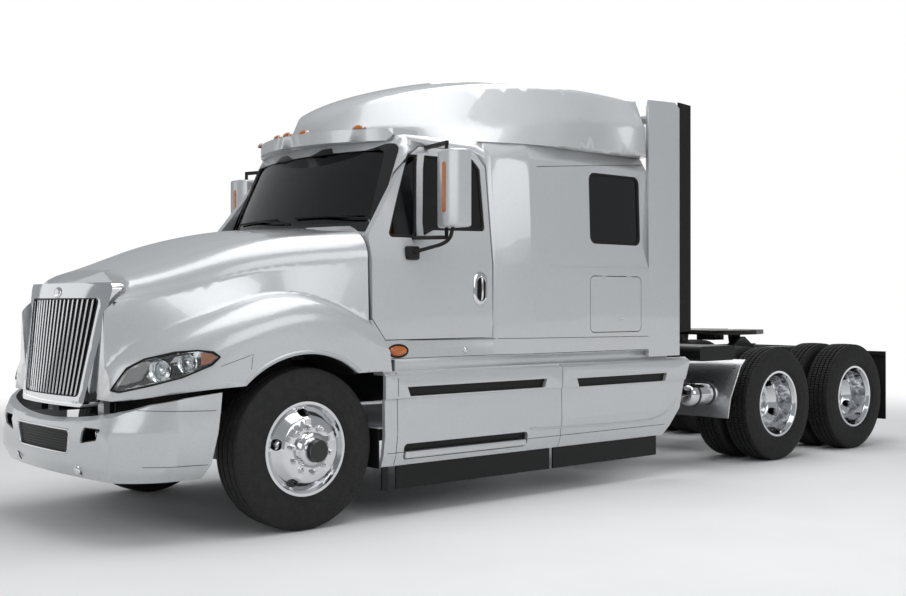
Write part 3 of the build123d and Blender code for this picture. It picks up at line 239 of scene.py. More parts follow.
PAINT = pearl_paint("pearl_silver_basecoat", "#BDBFC1", "#C6C8CA")
CHASSIS_BLACK = satin("chassis_black_enamel", "#0D0E0F", "#161718", 0.42, 8, 0.15, Coat_Weight=0.2)
CASTING = satin("grey_iron_casting", "#3C3E40", "#4C4E50", 0.62, 5, 0.5, Metallic=0.5)
CORE = finned("aluminium_cooler_core", "#6B6E70", 6)
GLASS = tinted_glass("grey_tinted_float_glass", "#2F3436")
CLEAR = tinted_glass("clear_polycarbonate", "#F2F5F6", Specular_IOR_Level=0.25)
REFLECTOR = bright_metal("vacuum_metallised_reflector", "#D9DADB", 0.08, 30)
SEAT_CLOTH = cloth("grey_woven_seat_cloth", "#4F4B47", "#6A655F", 3)
DASH = satin("grained_dashboard_moulding", "#2A2A2B", "#353536", 0.6, 3, 0.3)
BLACK_PLASTIC = satin("moulded_black_polypropylene", "#0A0A0B", "#101011", 0.46, 2.5, 0.25,
                      Specular_IOR_Level=0.3)
CHROME = bright_metal("chrome_plate", "#D6D7D9", 0.07, 40)
POLISHED = bright_metal("polished_forged_aluminium", "#D2D3D5", 0.10, 5, 0.02)
ROLLED = bright_metal("satin_rolled_aluminium_sheet", "#DADBDD", 0.38, 9)
RUBBER = satin("black_sheet_rubber", "#0D0D0D", "#141413", 0.7, 4, 0.3, Specular_IOR_Level=0.3)
RED_LENS = lens("red_lamp_lens", "#8E0A0A", 5)
AMBER_LENS = lens("amber_lamp_lens", "#E07A1C", 4)
TYRE = tyre_rubber("cured_tyre_rubber")
BORDER = satin("black_ceramic_glass_border", "#08090A", "#0C0D0E", 0.16, 12, 0.02, Coat_Weight=0.6)
SEAM = satin("shadowed_panel_joint", "#2B2C2E", "#38393B", 0.8, 3, 0.05)
MIRROR_GLASS = bright_metal("silvered_mirror_glass", "#DDE2E4", 0.02, 60)
TRIM_GREY = satin("pale_grey_dash_moulding", "#8C8E90", "#9A9C9D", 0.5, 3, 0.2)
GREASED = satin("greased_bare_steel", "#1C1B1A", "#3A3835", 0.32, 20, 0.4, Metallic=0.7)

SLOT_FINISH = {"painted_body": PAINT, "frame_paint": CHASSIS_BLACK, "cast_iron": CASTING,
               "radiator_core": CORE, "glass": GLASS, "lamp_glass": CLEAR, "lamp_inner": REFLECTOR,
               "upholstery": SEAT_CLOTH,
               "dash_plastic": DASH, "black_plastic": BLACK_PLASTIC, "bright_trim": CHROME,
               "polished_metal": POLISHED, "black_rubber": RUBBER, "tail_lamp_red": RED_LENS, "tyre": TYRE}
SLOT_OF_FINISH = {mat.name: slot for slot, mat in SLOT_FINISH.items()}
SLOT_OF_FINISH.update({AMBER_LENS.name: "tail_lamp_red", BORDER.name: "black_plastic",
                       SEAM.name: "black_plastic", MIRROR_GLASS.name: "bright_trim",
                       TRIM_GREY.name: "dash_plastic"})
for part in frame["record"]["subparts"]:
    carried = NODES[part["node"]]
    carried.data.materials.clear()
    carried.data.materials.append(SLOT_FINISH[part["material_slot"]])


# Mesh helpers

def placed(name, data):
    """An object at the origin that holds a mesh, lamp or camera."""
    made = bpy.data.objects.new(name, data)
    bpy.context.scene.collection.objects.link(made)
    return made


def mesh_object(name, shape, mat, smooth=35):
    """A bmesh as an object at the origin, with its finish."""
    data = bpy.data.meshes.new(name)
    shape.to_mesh(data)
    shape.free()
    made = placed(name, data)
    data.materials.append(mat)
    if smooth:
        data.polygons.foreach_set("use_smooth", [True] * len(data.polygons))
        data.set_sharp_from_angle(angle=math.radians(smooth))
    return made


def fix(made, body="chassis"):
    """The piece rides on a body."""
    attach(made, body)
    return made


def piece(name, shape, mat, smooth, body="chassis"):
    """A bmesh as a finished piece on a body."""
    return fix(mesh_object(name, shape, mat, smooth), body)


def merged(name):
    """A CAD node's mesh with its doubles merged, as a bmesh."""
    shape = bmesh.new()
    shape.from_mesh(NODES[name].data)
    bmesh.ops.remove_doubles(shape, verts=shape.verts, dist=MERGE)
    return shape


def band(shape, one, two):
    """Adds a ring of quads between two closed loops of as many corners."""
    count = len(one)
    return [shape.faces.new((one[i], one[(i + 1) % count], two[(i + 1) % count], two[i]))
            for i in range(count)]


def sheet(shape, grid):
    """Adds quads over rows of corners."""
    return [shape.faces.new((one[k], one[k + 1], two[k + 1], two[k]))
            for one, two in zip(grid, grid[1:]) for k in range(len(one) - 1)]


def rim_of(count):
    """The (row, column) places round a square grid's edge, in order."""
    return ([(0, k) for k in range(count)] + [(i, count) for i in range(count)]
            + [(count, k) for k in range(count, 0, -1)] + [(i, 0) for i in range(count, 0, -1)])


def lathe(profile, x_middle, y, side, steps=128):
    """Turns a closed profile of (out along the axle, radius) about a wheel's axle."""
    shape = bmesh.new()
    rings = []
    for i in range(steps):
        across, up = math.cos(2 * math.pi * i / steps), math.sin(2 * math.pi * i / steps)
        rings.append([shape.verts.new((side * (x_middle + a), y + r * across, AXLE_Z + r * up))
                      for a, r in profile])
    faces = [face for one, two in zip(rings, rings[1:] + rings[:1]) for face in band(shape, one, two)]
    bmesh.ops.recalc_face_normals(shape, faces=faces)
    return shape


def rounded_block(shape, low, high, edge, segments=2):
    """Adds a box between two corners with rounded edges."""
    size = Vector(high) - Vector(low)
    middle = (Vector(high) + Vector(low)) / 2
    place = Matrix.Translation(middle) @ Matrix.Diagonal((*size, 1))
    made = bmesh.ops.create_cube(shape, size=1.0, matrix=place)
    edges = {e for v in made["verts"] for e in v.link_edges}
    bmesh.ops.bevel(shape, geom=list(edges), offset=edge, segments=segments, affect="EDGES", profile=0.5)


def side_block(shape, side, x, y, z, edge, segments=1):
    """Adds a rounded box on a side, between two places each out from the middle, back from the front axle and
    up."""
    low, high = sorted((side * x[0], side * x[1]))
    rounded_block(shape, (low, back(y[0]), z[0]), (high, back(y[1]), z[1]), edge, segments)


def node_tree(name, sizes, build):
    """A Geometry Nodes tree with named inputs. build(tree, given) returns the geometry, and the tree ends in
    Realize Instances and Set Material."""
    tree = bpy.data.node_groups.new(name, "GeometryNodeTree")
    face = tree.interface
    face.new_socket("Item", in_out="INPUT", socket_type="NodeSocketGeometry")
    sockets = {label: face.new_socket(label, in_out="INPUT", socket_type="NodeSocket" + kind).identifier
               for label, kind in (*sizes, ("Finish", "Material"))}
    face.new_socket("Result", in_out="OUTPUT", socket_type="NodeSocketGeometry")
    given = tree.nodes.new("NodeGroupInput").outputs
    real = node(tree, "GeometryNodeRealizeInstances", {"Geometry": build(tree, given)})
    done = node(tree, "GeometryNodeSetMaterial", {"Geometry": real.outputs[0], "Material": given["Finish"]})
    out = tree.nodes.new("NodeGroupOutput")
    tree.links.new(done.outputs[0], out.inputs[0])
    return tree, sockets


def grown(item, kind, **sizes):
    """The item after a tree has worked on it, as a plain mesh."""
    tree, sockets = kind
    modifier = item.modifiers.new(tree.name, "NODES")
    modifier.node_group = tree
    for label, value in sizes.items():
        modifier[sockets[label]] = value
    modifier[sockets["Finish"]] = item.data.materials[0]
    return baked(item)


def round_axle(tree, given):
    """Copies of the item, modelled about the origin, round the X axis, moved to the centre."""
    line = node(tree, "GeometryNodeMeshLine", {"Count": given["Count"], "Offset": (0, 0, 0)})
    index = node(tree, "GeometryNodeInputIndex").outputs[0]
    share = node(tree, "ShaderNodeMath", {0: index, 1: given["Count"]}, operation="DIVIDE").outputs[0]
    turn = node(tree, "ShaderNodeMath", {0: share, 1: 2 * math.pi, 2: given["Phase"]},
                operation="MULTIPLY_ADD")
    angle = node(tree, "ShaderNodeCombineXYZ", {"X": turn.outputs[0]})
    spread = node(tree, "GeometryNodeInstanceOnPoints", {"Points": line.outputs[0], "Instance": given["Item"],
                                                         "Rotation": angle.outputs[0]})
    return node(tree, "GeometryNodeTransform", {"Geometry": spread.outputs[0],
                                                "Translation": given["Centre"]}).outputs[0]


def in_row(tree, given):
    """Copies of the item, each moved on by the step."""
    line = node(tree, "GeometryNodeMeshLine", {"Count": given["Count"], "Offset": given["Step"]})
    return node(tree, "GeometryNodeInstanceOnPoints", {"Points": line.outputs[0],
                                                       "Instance": given["Item"]}).outputs[0]


def along_route(tree, given):
    """A bead of round section along the item's edges."""
    route = node(tree, "GeometryNodeMeshToCurve", {"Mesh": given["Item"]})
    ring = node(tree, "GeometryNodeCurvePrimitiveCircle",
                {"Resolution": given["Sides"], "Radius": given["Radius"]})
    swept = node(tree, "GeometryNodeCurveToMesh",
                 {"Curve": route.outputs[0], "Profile Curve": ring.outputs[0], "Fill Caps": True})
    return node(tree, "GeometryNodeSetShadeSmooth", {"Geometry": swept.outputs[0]}).outputs[0]


ROUND = node_tree("repeat_round_axle", (("Count", "Int"), ("Phase", "Float"), ("Centre", "Vector")),
                  round_axle)
ROW = node_tree("repeat_in_row", (("Count", "Int"), ("Step", "Vector")), in_row)
BEAD = node_tree("bead_along_route", (("Radius", "Float"), ("Sides", "Int")), along_route)


def repeat_round(item, count, centre, phase=0.0):
    """The item, modelled about the origin, repeated round the X axis and moved to the centre."""
    return grown(item, ROUND, Count=count, Phase=phase, Centre=centre)


def bead(name, routes, radius, mat, closed=False, sides=8):
    """One object of round beads along routes of points."""
    data = bpy.data.meshes.new(name)
    points, edges = [], []
    for route in routes:
        first, last = len(points), len(points) + len(route) - 1
        points += [tuple(p) for p in route]
        edges += [(k, k + 1) for k in range(first, last)]
        if closed:
            edges.append((last, first))
    data.from_pydata(points, edges, [])
    data.materials.append(mat)
    return grown(placed(name, data), BEAD, Radius=radius, Sides=sides)


def baked(item):
    """The item with its modifiers applied, as a plain mesh."""
    bpy.context.view_layer.update()
    data = bpy.data.meshes.new_from_object(item.evaluated_get(bpy.context.evaluated_depsgraph_get()))
    item.modifiers.clear()
    item.data = data
    return item


def skin(*names):
    """A search tree over CAD nodes' surfaces, on which trim is seated."""
    shape = bmesh.new()
    for name in names:
        shape.from_mesh(NODES[name].data)
    tree = BVHTree.FromBMesh(shape)
    shape.free()
    return tree


def seated(tree, points, along, lift=0.0):
    """Each point, moved along a direction to the first surface it meets, then lifted off it. Strays are
    dropped."""
    way = Vector(along)
    found = []
    for point in points:
        place, normal = tree.ray_cast(Vector(point), way)[:2]
        if place is not None:
            if normal.dot(way) > 0:
                normal = -normal
            found.append(place + normal * lift)
    return found


def rounded(outline, radius, steps=5):
    """A closed 2-D outline with its corners rounded."""
    points = []
    count = len(outline)
    for i, corner in enumerate(outline):
        here = Vector(corner)
        before = (Vector(outline[i - 1]) - here)
        after = (Vector(outline[(i + 1) % count]) - here)
        cut = min(radius, before.length * 0.45, after.length * 0.45)
        start, end = here + before.normalized() * cut, here + after.normalized() * cut
        for k in range(steps + 1):
            t = k / steps
            points.append(start * (1 - t) ** 2 + here * 2 * t * (1 - t) + end * t ** 2)
    return points


def divided(points, step, closed=False):
    """The route with extra points, so that none are more than step apart."""
    route = []
    pairs = list(zip(points, points[1:] + points[:1] if closed else points[1:]))
    for one, two in pairs:
        one, two = Vector(one), Vector(two)
        parts = max(1, math.ceil((two - one).length / step))
        route += [one.lerp(two, k / parts) for k in range(parts)]
    if not closed:
        route.append(Vector(points[-1]))
    return route


def arc_route(points, rounds=3):
    """A route with its corners eased by corner cutting, ends kept."""
    route = [Vector(p) for p in points]
    for _ in range(rounds):
        eased = [route[0]]
        for one, two in zip(route, route[1:]):
            eased += [one.lerp(two, 0.25), one.lerp(two, 0.75)]
        route = eased + [route[-1]]
    return route


def slab(shape, outline, place, depth):
    """Adds a plate: a 2-D outline, put in place by place(a, b, offset), from offset 0 to depth."""
    front = [shape.verts.new(place(a, b, 0.0)) for a, b in outline]
    rear = [shape.verts.new(place(a, b, depth)) for a, b in outline]
    count = len(outline)
    faces = [shape.faces.new(front), shape.faces.new(rear[::-1])]
    faces += [shape.faces.new((front[i], rear[i], rear[(i + 1) % count], front[(i + 1) % count]))
              for i in range(count)]
    bmesh.ops.recalc_face_normals(shape, faces=faces)


def ring_sheet(shape, outer, inner, thick):
    """Adds a closed band between two loops of as many points, thick along Y behind them."""
    loops = [[shape.verts.new(Vector(p) + Vector((0, shift, 0))) for p in loop]
             for loop, shift in ((outer, 0), (inner, 0), (inner, thick), (outer, thick))]
    faces = [face for one, two in zip(loops, loops[1:] + loops[:1]) for face in band(shape, one, two)]
    bmesh.ops.recalc_face_normals(shape, faces=faces)


def turned(shape, profile, origin, axis, steps=32):
    """Adds a turned form: (distance along the axis, radius) points, open at any end that has a radius."""
    axis = Vector(axis).normalized()
    across = axis.orthogonal().normalized()
    other = axis.cross(across)
    rings = []
    for along, radius in profile:
        middle = Vector(origin) + axis * along
        if radius < 1e-6:
            rings.append([shape.verts.new(middle)])
            continue
        rings.append([shape.verts.new(middle + (across * math.cos(2 * math.pi * k / steps)
                                                + other * math.sin(2 * math.pi * k / steps)) * radius)
                      for k in range(steps)])
    faces = []
    for one, two in zip(rings, rings[1:]):
        for k in range(steps):
            n = (k + 1) % steps
            corners = [one[k % len(one)], one[n % len(one)], two[n % len(two)], two[k % len(two)]]
            corners = [v for i, v in enumerate(corners) if v not in corners[:i]]
            if len(corners) > 2:
                faces.append(shape.faces.new(corners))
    bmesh.ops.recalc_face_normals(shape, faces=faces)


def joined(parts, name):
    """Several meshes as one object."""
    whole = bmesh.new()
    mats = []
    for part in parts:
        first = len(mats)
        mats += list(part.data.materials)
        start = len(whole.faces)
        whole.from_mesh(part.data)
        whole.faces.ensure_lookup_table()
        for face in whole.faces[start:]:
            face.material_index += first
    data = bpy.data.meshes.new(name)
    whole.to_mesh(data)
    whole.free()
    for mat in mats:
        data.materials.append(mat)
    for part in parts:
        bpy.data.objects.remove(part)
    return placed(name, data)


# Tyres: grooved steer tread, block tread on the drive axles

SIDEWALL = [(0.112, 0.508), (0.122, 0.497), (0.128, 0.478), (0.1335, 0.462), (0.1335, 0.456), (0.138, 0.430),
            (0.1398, 0.402), (0.1385, 0.372), (0.134, 0.345), (0.1345, 0.338), (0.131, 0.334), (0.124, 0.312),
            (0.1175, 0.303), (0.1145, 0.301), (0.1145, 0.292)]
INSIDE = [(0.100, 0.292), (0.118, 0.330), (0.126, 0.380), (0.122, 0.440), (0.105, 0.478), (0.06, 0.490)]


TREAD_R, CARCASS_R, BLOCK_R, BLOCK_FOOT, BLOCK_COUNT = 0.5149, 0.501, 0.513, 0.484, 62
STEER_GROOVES = [(-0.080, 0.005, 0.013), (-0.030, 0.006, 0.014), (0.030, 0.006, 0.014), (0.080, 0.005, 0.013)]
DRIVE_CROWN = [(-0.104, 0.004, 0.010), (0.104, 0.004, 0.010)]
BLOCK_ROWS = ((-0.091, 0.034, 0.0), (-0.046, 0.034, 0.5), (0.0, 0.036, 0.0), (0.046, 0.034, 0.5),
              (0.091, 0.034, 0.0))


def crown_at(middle, base):
    """Radius of the crown at a place across the tread."""
    return base - 0.006 * (abs(middle) / 0.112) ** 2


def tyre_profile(grooves, base):
    """Closed section of a tyre; grooves are (middle, half width, depth) over the crown."""
    crown = []
    for middle, half, depth in sorted(grooves):
        rise = crown_at(middle, base)
        crown += [(middle - half, rise), (middle - half * 0.7, rise - depth),
                  (middle + half * 0.7, rise - depth), (middle + half, rise)]
    left = [(-a, r) for a, r in reversed(SIDEWALL)]
    inner = [(a, r) for a, r in INSIDE] + [(-a, r) for a, r in reversed(INSIDE)]
    return left + crown + list(SIDEWALL) + inner


def tread_blocks(x_middle, y, side, name):
    """Drive tread: rows of sipe-cut blocks, each (middle, width, stagger), repeated round the tyre."""
    shape = bmesh.new()
    pitch = 2 * math.pi * BLOCK_R / BLOCK_COUNT
    for middle, wide, shift in BLOCK_ROWS:
        for half in (-0.25, 0.25):
            along = pitch * (shift + half)
            rounded_block(shape, (middle - wide / 2, along - pitch * 0.2, BLOCK_FOOT),
                          (middle + wide / 2, along + pitch * 0.2, crown_at(middle, TREAD_R)), 0.0025, 1)
    for v in shape.verts:
        v.co.z -= v.co.y ** 2 / (2 * BLOCK_R)
        v.co.x += side * x_middle
    return repeat_round(mesh_object(name, shape, TYRE, 30), BLOCK_COUNT, (0, y, AXLE_Z))


for name, side in SIDES:
    shape = lathe(tyre_profile(STEER_GROOVES, TREAD_R), STEER_X, back(STEER_AXLE), side, 160)
    steer = mesh_object("steer_tread_" + name, shape, TYRE, 28)
    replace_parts(fix(steer, "steer_wheel_" + name), "steer_tyre_" + name)
    for axle, y in DRIVE_AXLES:
        hub = "%s_%s" % (axle, name)
        rubber = []
        for x in (DUAL_X + DISC_OFFSET, DUAL_X - DISC_OFFSET):
            shape = lathe(tyre_profile(DRIVE_CROWN, CARCASS_R), x, back(y), side, 128)
            rubber.append(mesh_object("carcass", shape, TYRE, 28))
            rubber.append(tread_blocks(x, back(y), side, "blocks"))
        pair = joined(rubber, "drive_treads_" + hub)
        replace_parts(fix(pair, "drive_wheels_" + hub), "drive_tyres_" + hub)


# Wheel nuts: washer, hexagon and stud end, each as (radius, tip radius, sides, start, length)

NUT_STACK = ((0.0225, 0.0225, 20, 0.0, 0.005), (0.0185, 0.0185 * 0.93, 6, 0.005, 0.024),
             (0.011, 0.011 * 0.93, 14, 0.029, 0.009))
NUTS, NUT_CIRCLE, NUT_TURN, DUAL_FACE = 10, 0.1429, math.radians(8), 0.0202


def wheel_nuts(face_x, y, side, name, body):
    """A ring of wheel nuts on a disc's outer face."""
    shape = bmesh.new()
    turn = Matrix.Rotation(math.radians(90), 4, "Y")
    for radius, tip, steps, start, length in NUT_STACK:
        place = Matrix.Translation((side * (face_x + start + length / 2), 0, NUT_CIRCLE))
        made = bmesh.ops.create_cone(shape, cap_ends=True, segments=steps, radius1=radius, radius2=tip,
                                     depth=length, matrix=place @ turn)
        rim = [e for v in made["verts"] for e in v.link_edges
               if abs(e.verts[0].co.x - e.verts[1].co.x) < 1e-6]
        bmesh.ops.bevel(shape, geom=list(set(rim)), offset=0.001, segments=1, affect="EDGES")
    ring = repeat_round(mesh_object(name, shape, CHROME, 30), NUTS, (0, back(y), AXLE_Z), NUT_TURN)
    fix(ring, body)


for name, side in SIDES:
    wheel_nuts(STEER_X + DISC_OFFSET, STEER_AXLE, side, "steer_nuts_" + name, "steer_wheel_" + name)
    for axle, y in DRIVE_AXLES:
        hub = "%s_%s" % (axle, name)
        wheel_nuts(DUAL_X + DUAL_FACE, y, side, "drive_nuts_" + hub, "drive_wheels_" + hub)


# Painted panels: a merged, smoothly shaded copy stands for each

SLOT_OF = {part["node"]: part["material_slot"] for part in frame["record"]["subparts"]}


def smooth_panel(name, angle, mat=None):
    """A merged copy of a CAD node with smooth shading across its soft bends."""
    panel = mesh_object("panel_" + name, merged(name), mat or SLOT_FINISH[SLOT_OF[name]], angle)
    panel.modifiers.new("even_shading", "WEIGHTED_NORMAL").keep_sharp = True
    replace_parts(fix(baked(panel), body_of(NODES[name])[0]), name)


for name in ("hood_shell", "cab_shell", "sleeper_shell", "roof_fairing", "sun_visor", "bumper",
             "side_fairings", "side_extenders", "grille_bars", "windscreen", "fuel_tanks", "fender_liners",
             "headlamp_lenses", "headlamp_buckets"):
    smooth_panel(name, 32)
for name, side in SIDES:
    for panel, angle in (("door_", 32), ("luggage_door_", 12), ("steer_wheel_", 32),
                         ("drive_wheels_front_", 32), ("drive_wheels_rear_", 32)):
        smooth_panel(panel + name, angle)
smooth_panel("fifth_wheel_plate", 30, GREASED)
smooth_panel("quarter_fenders", 30, ROLLED)
shape = merged("grille_surround")
hard = [e for e in shape.edges if e.is_manifold and e.calc_face_angle(0) > math.radians(42)]
bmesh.ops.bevel(shape, geom=hard, offset=0.012, segments=3, affect="EDGES", profile=0.5, clamp_overlap=True)
surround = piece("surround_moulding", shape, CHROME, 40, "hood")
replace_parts(surround, "grille_surround")


# Windscreen: black border round the glass, wipers parked along its foot

SCREEN_SKIN = skin("cab_shell", "windscreen")
SCREEN_EDGE = [(-0.925, 1.965), (0.925, 1.965), (0.842, 2.515), (-0.842, 2.515)]
BORDER_EDGE = [(-0.955, 1.922), (0.955, 1.922), (0.905, 2.552), (-0.905, 2.552)]
SCREEN_Z, ROOT_Z, ELBOW_Z, BLADE_Z = 2.24, 1.996, 2.016, 2.034
WIPERS = ((0.17, -0.30, -0.64, 0.03), (0.93, 0.52, 0.24, 0.83))


def on_screen(x, z, lift=0.0):
    """The place on the windscreen or its frame seen straight ahead at x and z, or the nearest one inward."""
    for k in range(60):
        found = seated(SCREEN_SKIN, [(x * (1 - 0.003 * k), AHEAD, z)], (0, 1, 0), lift)
        if found and found[0].y < back(1.0):
            return found[0]
    return Vector((x, back(0.9), z))


def even(outline, parts):
    """Each edge of a closed outline cut into the same number of parts."""
    return [one.lerp(two, k / parts)
            for one, two in zip(outline, outline[1:] + outline[:1]) for k in range(parts)]


shape = bmesh.new()
outer = [on_screen(p.x, p.y, 0.006) for p in even(rounded(BORDER_EDGE, 0.07), 3)]
inner = [on_screen(p.x * 0.968, SCREEN_Z + (p.y - SCREEN_Z) * 0.95, 0.020)
         for p in even(rounded(SCREEN_EDGE, 0.05), 3)]
ring_sheet(shape, outer, inner, 0.006)
piece("windscreen_border", shape, BORDER, 40)

arms, blades, pivots = [], [], []
for pivot, middle, start, end in WIPERS:
    blades.append([on_screen(start + (end - start) * k / 12, BLADE_Z, 0.014) for k in range(13)])
    root = on_screen(pivot, ROOT_Z, 0.006)
    arms.append(arc_route([root, root + Vector((0, -0.010, 0.014)),
                           on_screen((pivot + middle) / 2, ELBOW_Z, 0.028),
                           on_screen(middle, BLADE_Z, 0.024)], 2))
    shape = bmesh.new()
    turned(shape, [(0.0, 0.020), (0.010, 0.019), (0.015, 0.011), (0.016, 0.0)],
           on_screen(pivot, ROOT_Z, -0.002), (0, -0.8, 0.5), 20)
    pivots.append(mesh_object("wiper_pivot", shape, BLACK_PLASTIC, 30))
parts = [bead("wiper_arms", arms, 0.0055, BLACK_PLASTIC),
         bead("wiper_blades", blades, 0.0075, RUBBER, sides=6)]
fix(joined(parts + pivots, "windscreen_wipers"))


# Side windows: black seals and the painted divider of the vent window

VENT = [(0.702, 1.888), (0.926, 1.888), (1.020, 2.462), (0.954, 2.462)]
DROP_GLASS = [(0.996, 1.904), (1.092, 1.946), (1.552, 1.957), (1.552, 2.397), (1.496, 2.462), (1.088, 2.462)]
VENT_BAR = [(0.938, 1.880), (0.990, 1.880), (1.082, 2.480), (1.030, 2.480)]
SLEEPER_WINDOW = [(2.608, 1.903), (3.192, 1.903), (3.192, 2.440), (2.608, 2.440)]


def side_route(tree, side, outline, lift=0.0, step=0.03, closed=True):
    """A side-view route of (back from the front axle, height) laid on a side's skin."""
    points = divided([Vector(p) for p in outline], step, closed)
    return seated(tree, [(side * OUTSIDE, back(p.x), p.y) for p in points], (-side, 0, 0), lift)


def spot_on(tree, side, y, z):
    """One place on a side's skin."""
    return side_route(tree, side, [(y, z)])[0]


def side_sheet(name, tree, side, outline, lift, thick, mat, rows=6):
    """A thin plate that follows the skin of a side inside a four-cornered outline (foot front, foot rear, head
    rear, head front)."""
    a, b, c, d = [Vector(p) for p in outline]
    shape = bmesh.new()
    grid = []
    for i in range(rows + 1):
        t = i / rows
        row = [a.lerp(d, t).lerp(b.lerp(c, t), k / rows) for k in range(rows + 1)]
        grid.append([tree.ray_cast(Vector((side * OUTSIDE, back(p.x), p.y)), Vector((-side, 0, 0)))[0]
                     for p in row])
    front, rear = [[[shape.verts.new(p + Vector((side * up, 0, 0))) for p in row] for row in grid]
                   for up in (lift, lift - thick)]
    faces = sheet(shape, front) + sheet(shape, rear)
    rim = rim_of(rows)
    for (i, k), (m, n) in zip(rim, rim[1:] + rim[:1]):
        faces.append(shape.faces.new((front[i][k], front[m][n], rear[m][n], rear[i][k])))
    bmesh.ops.recalc_face_normals(shape, faces=faces)
    return mesh_object(name, shape, mat, 30)


for name, side in SIDES:
    door, glazed = "door_" + name, skin("door_" + name, "door_glass_" + name)
    seals = [side_route(glazed, side, rounded(outline, 0.035), 0.001) for outline in (VENT, DROP_GLASS)]
    fix(bead("window_seals_" + name, seals, 0.010, RUBBER, True), door)
    fix(side_sheet("vent_divider_" + name, glazed, side, VENT_BAR, 0.010, 0.016, PAINT), door)
    wall = skin("sleeper_shell", "sleeper_glass")
    pane = [side_route(wall, side, rounded(SLEEPER_WINDOW, 0.06), 0.001)]
    fix(bead("sleeper_seal_" + name, pane, 0.013, RUBBER, True))


# Door handles: a plate round a dark hand bowl, with an upright pull across it

def capsule(middle, half_wide, half_tall, steps=10):
    """A side-view outline with fully rounded ends."""
    y, z = middle
    points = []
    for k in range(2 * steps):
        turn = math.pi * k / steps
        lift = half_tall - half_wide if turn < math.pi else half_wide - half_tall
        points.append(Vector((y + half_wide * math.cos(turn), z + lift + half_wide * math.sin(turn))))
    return points


HANDLE = (1.488, 1.540)
for name, side in SIDES:
    door, panel = "door_" + name, skin("door_" + name)
    middle = spot_on(panel, side, *HANDLE)

    def on_door(y, z, out):
        return Vector((middle.x + side * out, back(y), z))

    shape = bmesh.new()
    ring = capsule(HANDLE, 0.066, 0.118)
    hole = capsule((HANDLE[0] + 0.004, HANDLE[1] - 0.006), 0.042, 0.084)
    ridge = [p.lerp(q, 0.35) for p, q in zip(ring, hole)]
    loops = [[shape.verts.new(on_door(p.x, p.y, out)) for p in line]
             for line, out in ((ring, -0.003), (ring, 0.005), (ridge, 0.012), (hole, 0.010), (hole, 0.001))]
    faces = [face for one, two in zip(loops, loops[1:]) for face in band(shape, one, two)]
    faces.append(shape.faces.new(loops[0][::-1]))
    bmesh.ops.recalc_face_normals(shape, faces=faces)
    piece("handle_plate_" + name, shape, CHROME, 50, door)
    shape = bmesh.new()
    slab(shape, [(p.x, p.y) for p in hole], lambda a, b, out: on_door(a, b, 0.0015 + out), -0.002)
    piece("handle_bowl_" + name, shape, BLACK_PLASTIC, 30, door)
    pull = [on_door(HANDLE[0] + 0.006, HANDLE[1] + rise, out) for rise, out in
            ((0.082, 0.006), (0.074, 0.017), (0.0, 0.020), (-0.074, 0.017), (-0.082, 0.006))]
    fix(bead("handle_pull_" + name, [arc_route(pull, 2)], 0.0085, CHROME, sides=12), door)


# Mirrors: painted head, black arms, silvered glass behind and an amber lamp in front

MIRROR_ROWS, MIRROR_Y = (1.945, 2.470), 1.040
for name, side in SIDES:
    door = "door_" + name
    for label, mat, keep in (("mirror_head_", PAINT, True), ("mirror_arms_", BLACK_PLASTIC, False)):
        shape = merged("mirror_" + name)
        bmesh.ops.recalc_face_normals(shape, faces=shape.faces)
        away = []
        for f in shape.faces:
            at = f.calc_center_median()
            on_head = MIRROR_ROWS[0] - 0.004 < at.z < MIRROR_ROWS[1] + 0.004 and abs(at.x) > 1.21
            if on_head != keep:
                away.append(f)
        bmesh.ops.delete(shape, geom=away, context="FACES")
        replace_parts(piece(label + name, shape, mat, 35, door), "mirror_" + name)
    rear = back(MIRROR_Y) + 0.055
    shape = bmesh.new()
    for low, high in ((1.972, 2.120), (2.140, 2.448)):
        outline = rounded([(1.245, low), (1.456, low), (1.456, high), (1.245, high)], 0.02)
        slab(shape, outline, lambda a, b, out: Vector((side * a, rear + 0.0025 - out, b)), 0.006)
    piece("mirror_glass_" + name, shape, MIRROR_GLASS, 30, door)
    shape = bmesh.new()
    outline = capsule((0, 2.215), 0.017, 0.170)
    slab(shape, [(p.x, p.y) for p in outline],
         lambda a, b, out: Vector((side * (1.345 + a), back(MIRROR_Y) - 0.0745 - out, b)), 0.006)
    piece("mirror_lamp_" + name, shape, AMBER_LENS, 30, door)
    shape = bmesh.new()
    foot = spot_on(skin("door_" + name), side, 0.862, 1.775)
    side_block(shape, side, (side * foot.x - 0.01, side * foot.x + 0.035), (0.815, 0.925), (1.728, 1.822),
               0.016, 3)
    piece("mirror_foot_" + name, shape, BLACK_PLASTIC, 40, door)
    brace = arc_route([foot + Vector((side * 0.02, 0, 0)), (side * 1.215, back(0.905), 1.800),
                       (side * 1.325, back(1.030), 1.845), (side * 1.350, back(1.042), 1.950)], 3)
    fix(bead("mirror_brace_" + name, [brace], 0.013, BLACK_PLASTIC, sides=12), door)


# Marker lamps: five on the visor, one on each rocker

VISOR_LAMPS = ((-0.642, 0.780), (-0.171, 0.632), (0.0, 0.607), (0.171, 0.632), (0.642, 0.780))
VISOR_TOP = 2.662


